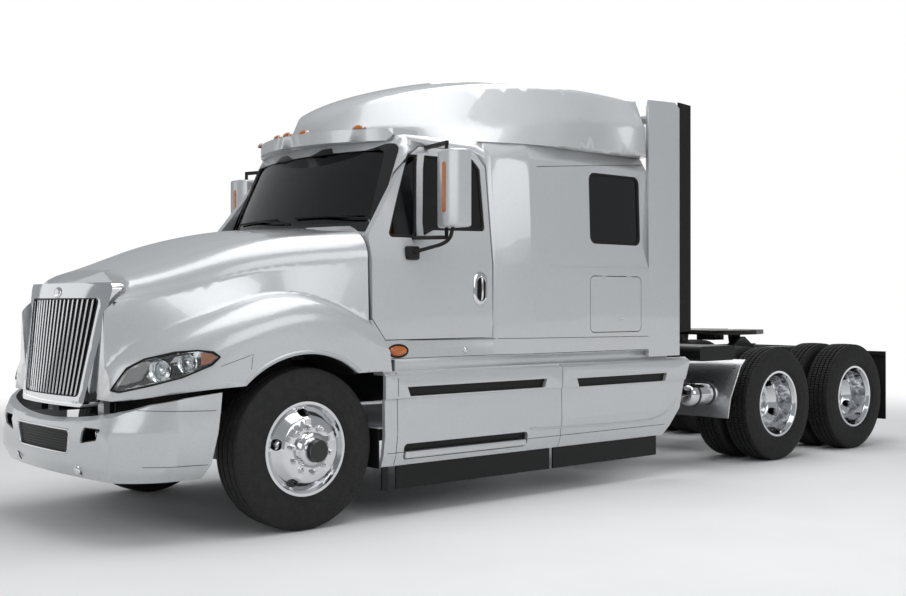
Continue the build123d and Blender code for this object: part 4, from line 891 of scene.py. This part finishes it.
def dome(shape, centre, long_way, wide_way, up, rise, steps=20, rings=5):
    """Adds a closed oval dome: half lengths along two directions and its rise."""
    centre, long_way, wide_way, up = Vector(centre), Vector(long_way), Vector(wide_way), Vector(up)
    circles = []
    for j in range(rings):
        tilt = math.pi / 2 * j / rings
        turns = [2 * math.pi * k / steps for k in range(steps)]
        circles.append([shape.verts.new(centre + (long_way * math.cos(a) + wide_way * math.sin(a)) * math.cos(tilt)
                                        + up * rise * math.sin(tilt)) for a in turns])
    top = shape.verts.new(centre + up * rise)
    faces = [shape.faces.new(circles[0][::-1])]
    for one, two in zip(circles, circles[1:]):
        faces += band(shape, one, two)
    faces += [shape.faces.new((circles[-1][k], circles[-1][(k + 1) % steps], top)) for k in range(steps)]
    bmesh.ops.recalc_face_normals(shape, faces=faces)


shape = bmesh.new()
for x, y in VISOR_LAMPS:
    turn = math.atan2(x * 0.42, 0.64)
    dome(shape, (x, back(y + 0.002), VISOR_TOP - 0.001), (0.059 * math.cos(turn), 0.059 * math.sin(turn), 0),
         (-0.026 * math.sin(turn), 0.026 * math.cos(turn), 0), (0, 0, 1), 0.030)
piece("visor_marker_lenses", shape, AMBER_LENS, 50)

BODY_SKIN = skin("cab_shell", "sleeper_shell")
MARKER = (0.745, 1.112)
for name, side in SIDES:
    shape = bmesh.new()
    dome(shape, spot_on(BODY_SKIN, side, *MARKER), (0, 0.078, 0), (0, 0, 0.036), (side, 0, 0), 0.022, 28)
    piece("side_marker_" + name, shape, AMBER_LENS, 50)
    ring = [(MARKER[0] + 0.084 * math.cos(math.pi * k / 14), MARKER[1] + 0.042 * math.sin(math.pi * k / 14))
            for k in range(28)]
    fix(bead("side_marker_rim_" + name, [side_route(BODY_SKIN, side, ring)], 0.006, BLACK_PLASTIC, True))
    shape = bmesh.new()
    dome(shape, spot_on(BODY_SKIN, side, 1.349, 1.104), (0, 0.020, 0.006), (0, -0.006, 0.024), (side, 0, 0),
         0.014)
    piece("step_lamp_" + name, shape, CHROME, 50)


# Panel joints and pressed ridges

JOINT_R = 0.0022
ROCKER_JOINTS = [[(0.56, 1.186), (1.64, 1.178)], [(1.66, 1.178), (3.29, 1.166)],
                 [(0.62, 1.062), (3.29, 1.060)], [(2.03, 2.448), (3.28, 2.560)]]
FAIRING_JOINTS = [[(0.695, 0.972), (0.695, 0.352)], [(0.62, 0.435), (3.52, 0.435)]]


def body_lines(name, tree, side, routes, radius, mat, body="chassis", lift=0.0):
    """Beads along side-view routes, laid on the skin."""
    lines = [side_route(tree, side, route, lift, 0.04, False) for route in routes]
    fix(bead(name, [line for line in lines if len(line) > 1], radius, mat, sides=6), body)


for name, side in SIDES:
    body_lines("rocker_joints_" + name, BODY_SKIN, side, ROCKER_JOINTS, JOINT_R, SEAM)
    body_lines("waist_ridge_" + name, BODY_SKIN, side, [[(2.15, 1.712), (3.28, 1.722)]], 0.004, PAINT)
    spot = spot_on(skin("luggage_door_" + name), side, 2.951, 1.309)
    shape = bmesh.new()
    turned(shape, [(-0.004, 0.014), (0.003, 0.014), (0.006, 0.011), (0.006, 0.005), (0.0035, 0.0)], spot,
           (side, 0, 0), 24)
    piece("luggage_lock_" + name, shape, CHROME, 30, "luggage_" + name)
    fairing = skin("side_fairings")
    body_lines("fairing_joints_" + name, fairing, side, FAIRING_JOINTS, JOINT_R, SEAM)
    ridge = arc_route([(1.95, 0.512, 0), (2.15, 0.500, 0), (3.20, 0.478, 0), (3.48, 0.500, 0),
                       (3.66, 0.640, 0)], 3)
    body_lines("fairing_ridge_" + name, fairing, side, [[(p.x, p.y) for p in ridge]], 0.009, PAINT)


# Fenders: a lip round the arch, and the panel joint behind the lamp

HOOD_SKIN = skin("hood_shell")
LIP_R = 0.616
ARCH = [(-LIP_R * math.cos(math.radians(a)), AXLE_Z + LIP_R * math.sin(math.radians(a)))
        for a in range(136, 44, -3)]
LAMP_JOINT = [(-0.585, 1.054), (-0.387, 1.122), (-0.399, 1.030)]
for name, side in SIDES:
    body_lines("arch_lip_" + name, HOOD_SKIN, side, [ARCH], 0.012, PAINT, "hood", -0.004)
    body_lines("lamp_panel_joint_" + name, HOOD_SKIN, side, [LAMP_JOINT], 0.0016, SEAM, "hood")


# Grille: a solid black sheet behind the bars as painted shade in their gaps, plain boss at its head, black plates
# as painted shade in the gap between grille and bumper

NOSE_Y, NOSE_Z, LEAN, CROWN, CROWN_HALF = -1.218, 0.820, 0.126, 0.080, 0.640


def nose_place(x, z, deep):
    """A place behind the surround's crowned face."""
    return Vector((x, back(NOSE_Y + (z - NOSE_Z) * LEAN + CROWN * (x / CROWN_HALF) ** 2 + deep), z))


# Painted shade: a solid black sheet behind the bars darkens the gaps between them, in front of the radiator.
shape = bmesh.new()
COLUMNS, ROWS, SHADE_SHEET_FOOT, SHADE_SHEET_HEAD = 24, 6, 0.403, 0.498
grid = []
for r in range(ROWS + 1):
    half_wide = SHADE_SHEET_FOOT + (SHADE_SHEET_HEAD - SHADE_SHEET_FOOT) * r / ROWS
    grid.append([shape.verts.new(nose_place(half_wide * (2 * c / COLUMNS - 1), 0.866 + 0.592 * r / ROWS, 0.058))
                 for c in range(COLUMNS + 1)])
sheet(shape, grid)
shade_sheet = mesh_object("grille_shade_sheet", shape, BLACK_PLASTIC, 0)
shade_sheet.modifiers.new("gauge", "SOLIDIFY").thickness = 0.003
fix(baked(shade_sheet), "hood")
shape = bmesh.new()
dome(shape, nose_place(0, 1.500, -0.001), (0.052, 0, 0), (0, 0.036 * LEAN, 0.036), (0, -1, LEAN), 0.012,
     36, 6)
piece("nose_boss", shape, CHROME, 60, "hood")
opening = [(-0.405, 0.862), (0.405, 0.862), (0.500, 1.462), (-0.500, 1.462)]
loop = [nose_place(p.x, p.y, 0.001) for p in divided(rounded(opening, 0.03), 0.03, True)]
fix(bead("grille_opening_edge", [loop], 0.0035, SEAM, True, 6), "hood")
# Painted shade: a black plate on each side blocks the view through the gap between grille and bumper.
for name, side in SIDES:
    shape = bmesh.new()
    side_block(shape, side, (0.555, 0.565), (-1.010, -0.760), (0.700, 0.900), 0.002)
    piece("gap_shade_plate_" + name, shape, BLACK_PLASTIC, 30)


# Headlamps: dark gasket and inner bezel, two bowls, amber tip

LAMP = [(0.003, 0.913), (0.100, 1.047), (0.206, 1.102), (0.387, 1.143), (0.522, 1.153), (0.612, 1.142),
        (0.652, 1.112), (0.604, 1.064), (0.434, 0.993), (0.252, 0.947), (0.055, 0.904)]
LAMP_MIDDLE, GASKET_SHARE, LAMP_TURN = Vector((0.33, 1.035)), 0.985, math.radians(35.1)
INNER_BEZEL = [(0.045, 0.920), (0.115, 1.030), (0.215, 1.080), (0.240, 1.030), (0.200, 0.960), (0.110, 0.930)]
UPPER_BEZEL = [(0.225, 1.092), (0.385, 1.128), (0.500, 1.138), (0.490, 1.128), (0.380, 1.112), (0.245, 1.076)]
PROJECTOR = [(-0.020, 0.030), (-0.014, 0.036), (-0.004, 0.030), (0.002, 0.016), (0.004, 0.0)]
AMBER_TIP = [(0.535, 1.060), (0.590, 1.074), (0.628, 1.110), (0.600, 1.130), (0.535, 1.138)]
BOWLS = ((0.300, 1.030, 0.066, 0.050), (0.455, 1.074, 0.056, 0.045))
for name, side in SIDES:
    normal = Vector((side * math.cos(LAMP_TURN), -math.sin(LAMP_TURN), 0))
    along = Vector((side * math.sin(LAMP_TURN), math.cos(LAMP_TURN), 0))
    start = Vector((side * 0.720, back(-1.120), 0))
    cover = skin("headlamp_lenses")

    def on_lamp(a, z, lift=0.0):
        origin = start + along * a + Vector((0, 0, z)) + normal * 0.5
        place = cover.ray_cast(origin, -normal)[0]
        return (place or start + along * a + Vector((0, 0, z))) + normal * lift

    rim = divided([LAMP_MIDDLE.lerp(Vector(p), GASKET_SHARE) for p in LAMP], 0.02, True)
    rim = [on_lamp(p.x, p.y, 0.001) for p in rim]
    fix(bead("lamp_gasket_" + name, [rim], 0.0062, BLACK_PLASTIC, True), "hood")
    shape = bmesh.new()
    slab(shape, INNER_BEZEL, lambda a, b, out: on_lamp(a, b, -0.022 - out), 0.004)
    slab(shape, UPPER_BEZEL, lambda a, b, out: on_lamp(a, b, -0.018 - out), 0.004)
    piece("lamp_bezel_" + name, shape, BLACK_PLASTIC, 0, "hood")
    shape, caps = bmesh.new(), bmesh.new()
    for a, z, radius, deep in BOWLS:
        aim = (normal * 0.75 + Vector((0, -0.45, 0))).normalized()
        seat = on_lamp(a, z, -0.030)
        profile = [(-deep * (1 - (k / 6) ** 2), max(radius * k / 6, 0.012)) for k in range(7)]
        turned(shape, profile + [(0.004, radius + 0.004), (-0.002, radius + 0.008)], seat, aim, 32)
        bulb = [(-deep, 0.0), (-deep + 0.018, 0.013), (-deep + 0.030, 0.011), (-deep + 0.034, 0.0)]
        turned(shape, bulb, seat, aim, 20)
        turned(caps, PROJECTOR, seat, aim, 24)
    piece("lamp_bowls_" + name, shape, REFLECTOR, 40, "hood")
    piece("lamp_projectors_" + name, caps, CLEAR, 40, "hood")
    shape = bmesh.new()
    slab(shape, AMBER_TIP, lambda a, b, out: on_lamp(a, b, -0.012 - out), 0.005)
    piece("lamp_turn_lens_" + name, shape, AMBER_LENS, 0, "hood")


# Bumper: bright lip round the lower grille, ribs in it, fog lamps, tow pockets

BUMPER_SKIN = skin("bumper", "fog_lamps")


def front_route(tree, outline, lift=0.0, step=0.02, closed=True):
    """A front-view route of (x, height) laid on the nose."""
    points = divided([Vector(p) for p in outline], step, closed)
    return seated(tree, [(p.x, AHEAD, p.y) for p in points], (0, 1, 0), lift)


LOWER, LOWER_Z = [(-0.360, 0.520), (0.360, 0.520), (0.400, 0.660), (-0.400, 0.660)], 0.59
LIP_FRONT = back(-1.2422)
BUMPER_JOINTS = [[(-1.05, 0.806), (-0.58, 0.790)], [(-1.04, 0.476), (-0.58, 0.467)]]
lip = [Vector((p.x * 1.02, LOWER_Z + (p.y - LOWER_Z) * 1.06)) for p in rounded(LOWER, 0.03)]
edge = [Vector((p.x, max(p.y, LIP_FRONT), p.z)) for p in front_route(BUMPER_SKIN, lip, -0.002)]
fix(bead("lower_grille_lip", [edge], 0.0075, CHROME, True, 10))
rows = [[(-0.370 - 0.04 * k / 7, 0.532 + 0.017 * k), (0.370 + 0.04 * k / 7, 0.532 + 0.017 * k)]
        for k in range(8)]
lines = [front_route(skin("fog_lamps"), [(x * 0.965, z) for x, z in row], 0.001, 0.03, False) for row in rows]
fix(bead("lower_grille_ribs", lines, 0.0035, BLACK_PLASTIC, sides=6))
for name, side in SIDES:
    shape, glass = bmesh.new(), bmesh.new()
    seat = Vector((side * 0.640, back(-1.113), 0.652))
    turned(shape, [(0.0, 0.036), (0.038, 0.037), (0.044, 0.033), (0.036, 0.028), (0.022, 0.012), (0.020, 0.0)],
           seat, (0, -1, 0), 32)
    turned(glass, [(0.037, 0.031), (0.043, 0.028), (0.048, 0.016), (0.049, 0.0)], seat, (0, -1, 0), 32)
    piece("fog_reflector_" + name, shape, REFLECTOR, 40)
    piece("fog_glass_" + name, glass, CLEAR, 40)
    shape = bmesh.new()
    face = front_route(BUMPER_SKIN, [(side * 0.470, 0.460)])[0] + Vector((0, 0.004, -0.035))
    dome(shape, face, Vector((0.96, side * 0.28, 0)) * 0.026, (0, 0, 0.034), (side * 0.28, -0.96, 0), 0.010,
         28)
    piece("tow_plug_" + name, shape, CHROME, 50)
    body_lines("bumper_joints_" + name, BUMPER_SKIN, side, BUMPER_JOINTS, 0.0020, SEAM)


# Front hubs: black oil-bath cap over the polished disc; splash flap behind the wheel

HUB_CAP = [(0.0412, 0.074), (0.070, 0.073), (0.089, 0.071), (0.0975, 0.064), (0.0985, 0.048), (0.0975, 0.030),
           (0.0985, 0.0)]
for name, side in SIDES:
    shape = bmesh.new()
    turned(shape, HUB_CAP, (side * (STEER_X + DISC_OFFSET), back(STEER_AXLE), AXLE_Z), (side, 0, 0), 48)
    piece("hub_cap_" + name, shape, CHASSIS_BLACK, 30, "steer_wheel_" + name)
    shape = bmesh.new()
    side_block(shape, side, (0.99, 1.13), (0.577, 0.588), (0.335, 0.600), 0.004)
    piece("splash_flap_" + name, shape, RUBBER, 30)


# Rocker panels in the gap under the sills, treads in the step recesses, bolts along the rails

RAIL_X = 0.4325
for name, side in SIDES:
    shape = bmesh.new()
    side_block(shape, side, (1.088, 1.124), (0.72, 3.62), (0.970, 1.062), 0.006, 2)
    piece("rocker_panel_" + name, shape, PAINT, 35)
    shape = bmesh.new()
    side_block(shape, side, (1.120, 1.178), (0.775, 1.915), (0.388, 0.436), 0.012, 3)
    piece("step_tread_" + name, shape, PAINT, 35)
    shape = bmesh.new()
    turned(shape, [(0.0, 0.0), (0.0, 0.016), (0.004, 0.016), (0.004, 0.0125), (0.014, 0.0115), (0.015, 0.0)],
           (side * RAIL_X, back(3.78), 0.930), (side, 0, 0), 6)
    bolt = mesh_object("rail_bolts_" + name, shape, CHASSIS_BLACK, 30)
    fix(grown(bolt, ROW, Count=7, Step=(0, 0.115, 0)))


# Air tanks between the fairings and the quarter fenders

TANK_X, TANK_Z, STRAP_WIDE = 1.010, 0.640, 0.024
TANK = [(0.0, 0.0), (0.004, 0.040), (0.016, 0.072), (0.034, 0.090), (0.050, 0.095), (0.340, 0.095),
        (0.356, 0.090), (0.374, 0.072), (0.386, 0.040), (0.390, 0.0)]
STRAP = [(0.0, 0.0945), (0.0, 0.0985), (STRAP_WIDE, 0.0985), (STRAP_WIDE, 0.0945)]
for name, side in SIDES:
    shape = bmesh.new()
    turned(shape, TANK, (side * TANK_X, back(4.000), TANK_Z), (0, 1, 0), 64)
    piece("air_tank_" + name, shape, POLISHED, 50)
    shape = bmesh.new()
    for y in (4.090, 4.290):
        turned(shape, STRAP, (side * TANK_X, back(y), TANK_Z), (0, 1, 0), 48)
        side_block(shape, side, (0.44, 0.925), (y, y + STRAP_WIDE), (TANK_Z - 0.012, TANK_Z + 0.012), 0.003)
    piece("air_tank_straps_" + name, shape, CHASSIS_BLACK, 30)


# Tail lamps: black bar with four round red lenses

TAIL_LENS_X, TAIL_LENS_Z, TAIL_LENS_R = (0.230, 0.330), 0.890, 0.0453
for label, mat, red in (("tail_lamp_lenses", RED_LENS, True), ("tail_lamp_bar", BLACK_PLASTIC, False)):
    shape = merged("tail_lamps")
    bmesh.ops.recalc_face_normals(shape, faces=shape.faces)
    away = []
    for f in shape.faces:
        at = f.calc_center_median()
        on_lens = min(math.hypot(abs(at.x) - x, at.z - TAIL_LENS_Z) for x in TAIL_LENS_X) < TAIL_LENS_R
        if on_lens != red:
            away.append(f)
    bmesh.ops.delete(shape, geom=away, context="FACES")
    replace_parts(piece(label, shape, mat, 35), "tail_lamps")


# Seats and bunk: crowned cushions with piped seams and sewn channels on rigid bases

def cushion(shape, middle, across, along, up, channels, count=30):
    """Adds a closed pad: half-vectors to its sides, ends and crown. Its sides pull in between the corners, the
    crown rises from a seam all round, and each channel (axis, place, width) is sewn down. Returns the seam."""
    middle, across, along, up = Vector(middle), Vector(across), Vector(along), Vector(up)
    ease = [math.sin(math.pi / 2 * (2 * k / count - 1)) for k in range(count + 1)]

    def place(u, v, face):
        swell = ((1 - u ** 4) * (1 - v ** 4)) ** 0.33
        swell = 0.84 * swell + 0.16 * (1 - u * u) * (1 - v * v)
        for axis, where, wide in channels:
            swell *= 1 - 0.16 * math.exp(-(((u, v)[axis] - where) / wide) ** 2)
        return (middle + across * u * (1 - 0.03 * (1 - v * v)) + along * v * (1 - 0.02 * (1 - u * u))
                + up * face * (swell if face > 0 else min(swell, 0.86)))

    rim = {}
    layers = []
    for face in (1, -1):
        grid = []
        for i, v in enumerate(ease):
            row = []
            for k, u in enumerate(ease):
                edge = i in (0, count) or k in (0, count)
                if edge and (i, k) in rim:
                    row.append(rim[i, k])
                    continue
                vert = shape.verts.new(place(u, v, face))
                if edge:
                    rim[i, k] = vert
                row.append(vert)
            grid.append(row)
        layers.append(grid)
    faces = [face for grid in layers for face in sheet(shape, grid)]
    bmesh.ops.recalc_face_normals(shape, faces=faces)
    return [rim[key].co.copy() for key in rim_of(count)]


def rigid_base(node_name, label, top, mat):
    """What of a CAD node lies under its soft part, closed at the top."""
    shape = merged(node_name)
    away = [f for f in shape.faces if f.calc_center_median().z > top]
    bmesh.ops.delete(shape, geom=away, context="FACES")
    bmesh.ops.holes_fill(shape, edges=[e for e in shape.edges if e.is_boundary], sides=0)
    bmesh.ops.recalc_face_normals(shape, faces=shape.faces)
    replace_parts(piece(label, shape, mat, 30), node_name)


rigid_base("seats", "seat_pedestals", 1.374, BLACK_PLASTIC)
rigid_base("bunk", "bunk_board", 1.7092, TRIM_GREY)
for name, side in SIDES:
    x = side * 0.480
    for label, middle, across, along, up, channels in (
            ("seat_cushion_", (x, back(1.345), 1.455), (0.255, 0, 0), (0, 0.225, 0), (0, 0, 0.080),
             ((0, -0.56, 0.06), (0, 0.56, 0.06), (1, 0.1, 0.05))),
            ("seat_back_", (x, back(1.540), 1.845), (0.250, 0, 0), (0, 0, 0.320), (0, -0.060, 0),
             ((0, -0.56, 0.06), (0, 0.56, 0.06), (1, -0.25, 0.04), (1, 0.15, 0.04), (1, 0.52, 0.04)))):
        shape = bmesh.new()
        seam = cushion(shape, middle, across, along, up, channels)
        pad = piece(label + name, shape, SEAT_CLOTH, 60)
        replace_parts(pad, "seats")
        fix(bead(label + "piping_" + name, [seam], 0.005, BLACK_PLASTIC, True))
shape = bmesh.new()
seam = cushion(shape, (0, back(2.845), 1.785), (1.080, 0, 0), (0, 0.395, 0), (0, 0, 0.075),
               ((0, -0.5, 0.02), (0, 0.0, 0.02), (0, 0.5, 0.02), (1, -0.33, 0.04), (1, 0.33, 0.04)), 44)
mattress = piece("bunk_mattress", shape, SEAT_CLOTH, 60)
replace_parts(mattress, "bunk")
fix(bead("mattress_piping", [seam], 0.006, BLACK_PLASTIC, True))


# Floor, light and camera

def area_light(name, place, aim, width, height, power):
    """A soft box aimed at a point."""
    lamp = bpy.data.lights.new(name, "AREA")
    lamp.shape, lamp.size, lamp.size_y, lamp.energy = "RECTANGLE", width, height, power
    made = placed(name, lamp)
    made.location = place
    made.rotation_euler = (Vector(aim) - Vector(place)).to_track_quat("-Z", "Y").to_euler()


def seen_directly(tree, glossy=True):
    """1 where the camera, or a ray through glass or off metal, sees the surface."""
    path = node(tree, "ShaderNodeLightPath").outputs
    seen = node(tree, "ShaderNodeMath", {0: path["Is Camera Ray"], 1: path["Is Transmission Ray"]},
                operation="MAXIMUM").outputs[0]
    if glossy:
        seen = node(tree, "ShaderNodeMath", {0: seen, 1: path["Is Glossy Ray"]},
                    operation="MAXIMUM").outputs[0]
    return seen


def studio():
    """Pale floor that fades to a white surround, a long box overhead and softer ones beside."""
    shape = bmesh.new()
    bmesh.ops.create_grid(shape, x_segments=1, y_segments=1, size=90)
    mat = bpy.data.materials.new("pale_studio_floor")
    mat.use_nodes = True
    tree = mat.node_tree
    tree.nodes.clear()
    tone = two_tone(tree, noise(tree, 900, 2.0), "#EDEDED", "#F1F1F1")
    floor = node(tree, "ShaderNodeBsdfPrincipled", {"Base Color": tone, "Roughness": 0.6,
                                                    "Specular IOR Level": 0.15})
    glow = node(tree, "ShaderNodeEmission", {"Color": (1, 1, 1, 1), "Strength": 1.0})
    place = node(tree, "ShaderNodeTexCoord").outputs["Object"]
    far = node(tree, "ShaderNodeVectorMath", {0: place}, operation="LENGTH").outputs["Value"]
    fade = node(tree, "ShaderNodeMapRange", {"Value": far, "From Min": 5.5, "From Max": 11.0},
                interpolation_type="SMOOTHSTEP").outputs[0]
    share = node(tree, "ShaderNodeMath", {0: fade, 1: seen_directly(tree)}, operation="MULTIPLY").outputs[0]
    mixed = node(tree, "ShaderNodeMixShader", {0: share, 1: floor.outputs[0], 2: glow.outputs[0]})
    node(tree, "ShaderNodeOutputMaterial", {"Surface": mixed.outputs[0]})
    mesh_object("studio_floor", shape, mat, 0)
    world = bpy.data.worlds.new("white_surround")
    bpy.context.scene.world = world
    world.use_nodes = True
    tree = world.node_tree
    tree.nodes.clear()
    dim = node(tree, "ShaderNodeBackground", {"Color": linear("#DFE3E6"), "Strength": 0.5})
    white = node(tree, "ShaderNodeBackground", {"Color": (1, 1, 1, 1), "Strength": 1.0})
    mixed = node(tree, "ShaderNodeMixShader", {0: seen_directly(tree, False), 1: dim.outputs[0],
                                               2: white.outputs[0]})
    node(tree, "ShaderNodeOutputWorld", {"Surface": mixed.outputs[0]})
    area_light("overhead_box", (0.5, -0.5, 7.5), (0, 0, 1), 5.0, 10.0, 420)
    area_light("driver_side_box", (9.0, -1.0, 4.5), (1, -0.3, 1.2), 7.0, 4.0, 150)
    area_light("nose_box", (1.5, -11.0, 4.0), (0, -3, 1.3), 6.0, 4.0, 120)
    area_light("rear_box", (-6.0, 8.0, 5.0), (0, 1, 1.5), 6.0, 4.0, 120)
    area_light("far_side_card", (-8.5, -7.8, 2.4), (0, -4.1, 1.2), 6.0, 3.6, 42)


def photo_camera():
    """The photograph's viewpoint."""
    focal_px, photo_wide, sensor_mm = 1177.3, 906, 36
    data = bpy.data.cameras.new("photo_camera")
    data.sensor_width, data.lens, data.clip_end = sensor_mm, focal_px / photo_wide * sensor_mm, 200
    made = placed("photo_camera", data)
    made.location = (7.315, -7.128, 1.436)
    made.rotation_euler = (math.radians(90.235), math.radians(-0.016), math.radians(48.65))
    bpy.context.scene.camera = made


studio()
photo_camera()
bpy.context.scene.view_settings.view_transform = "Standard"
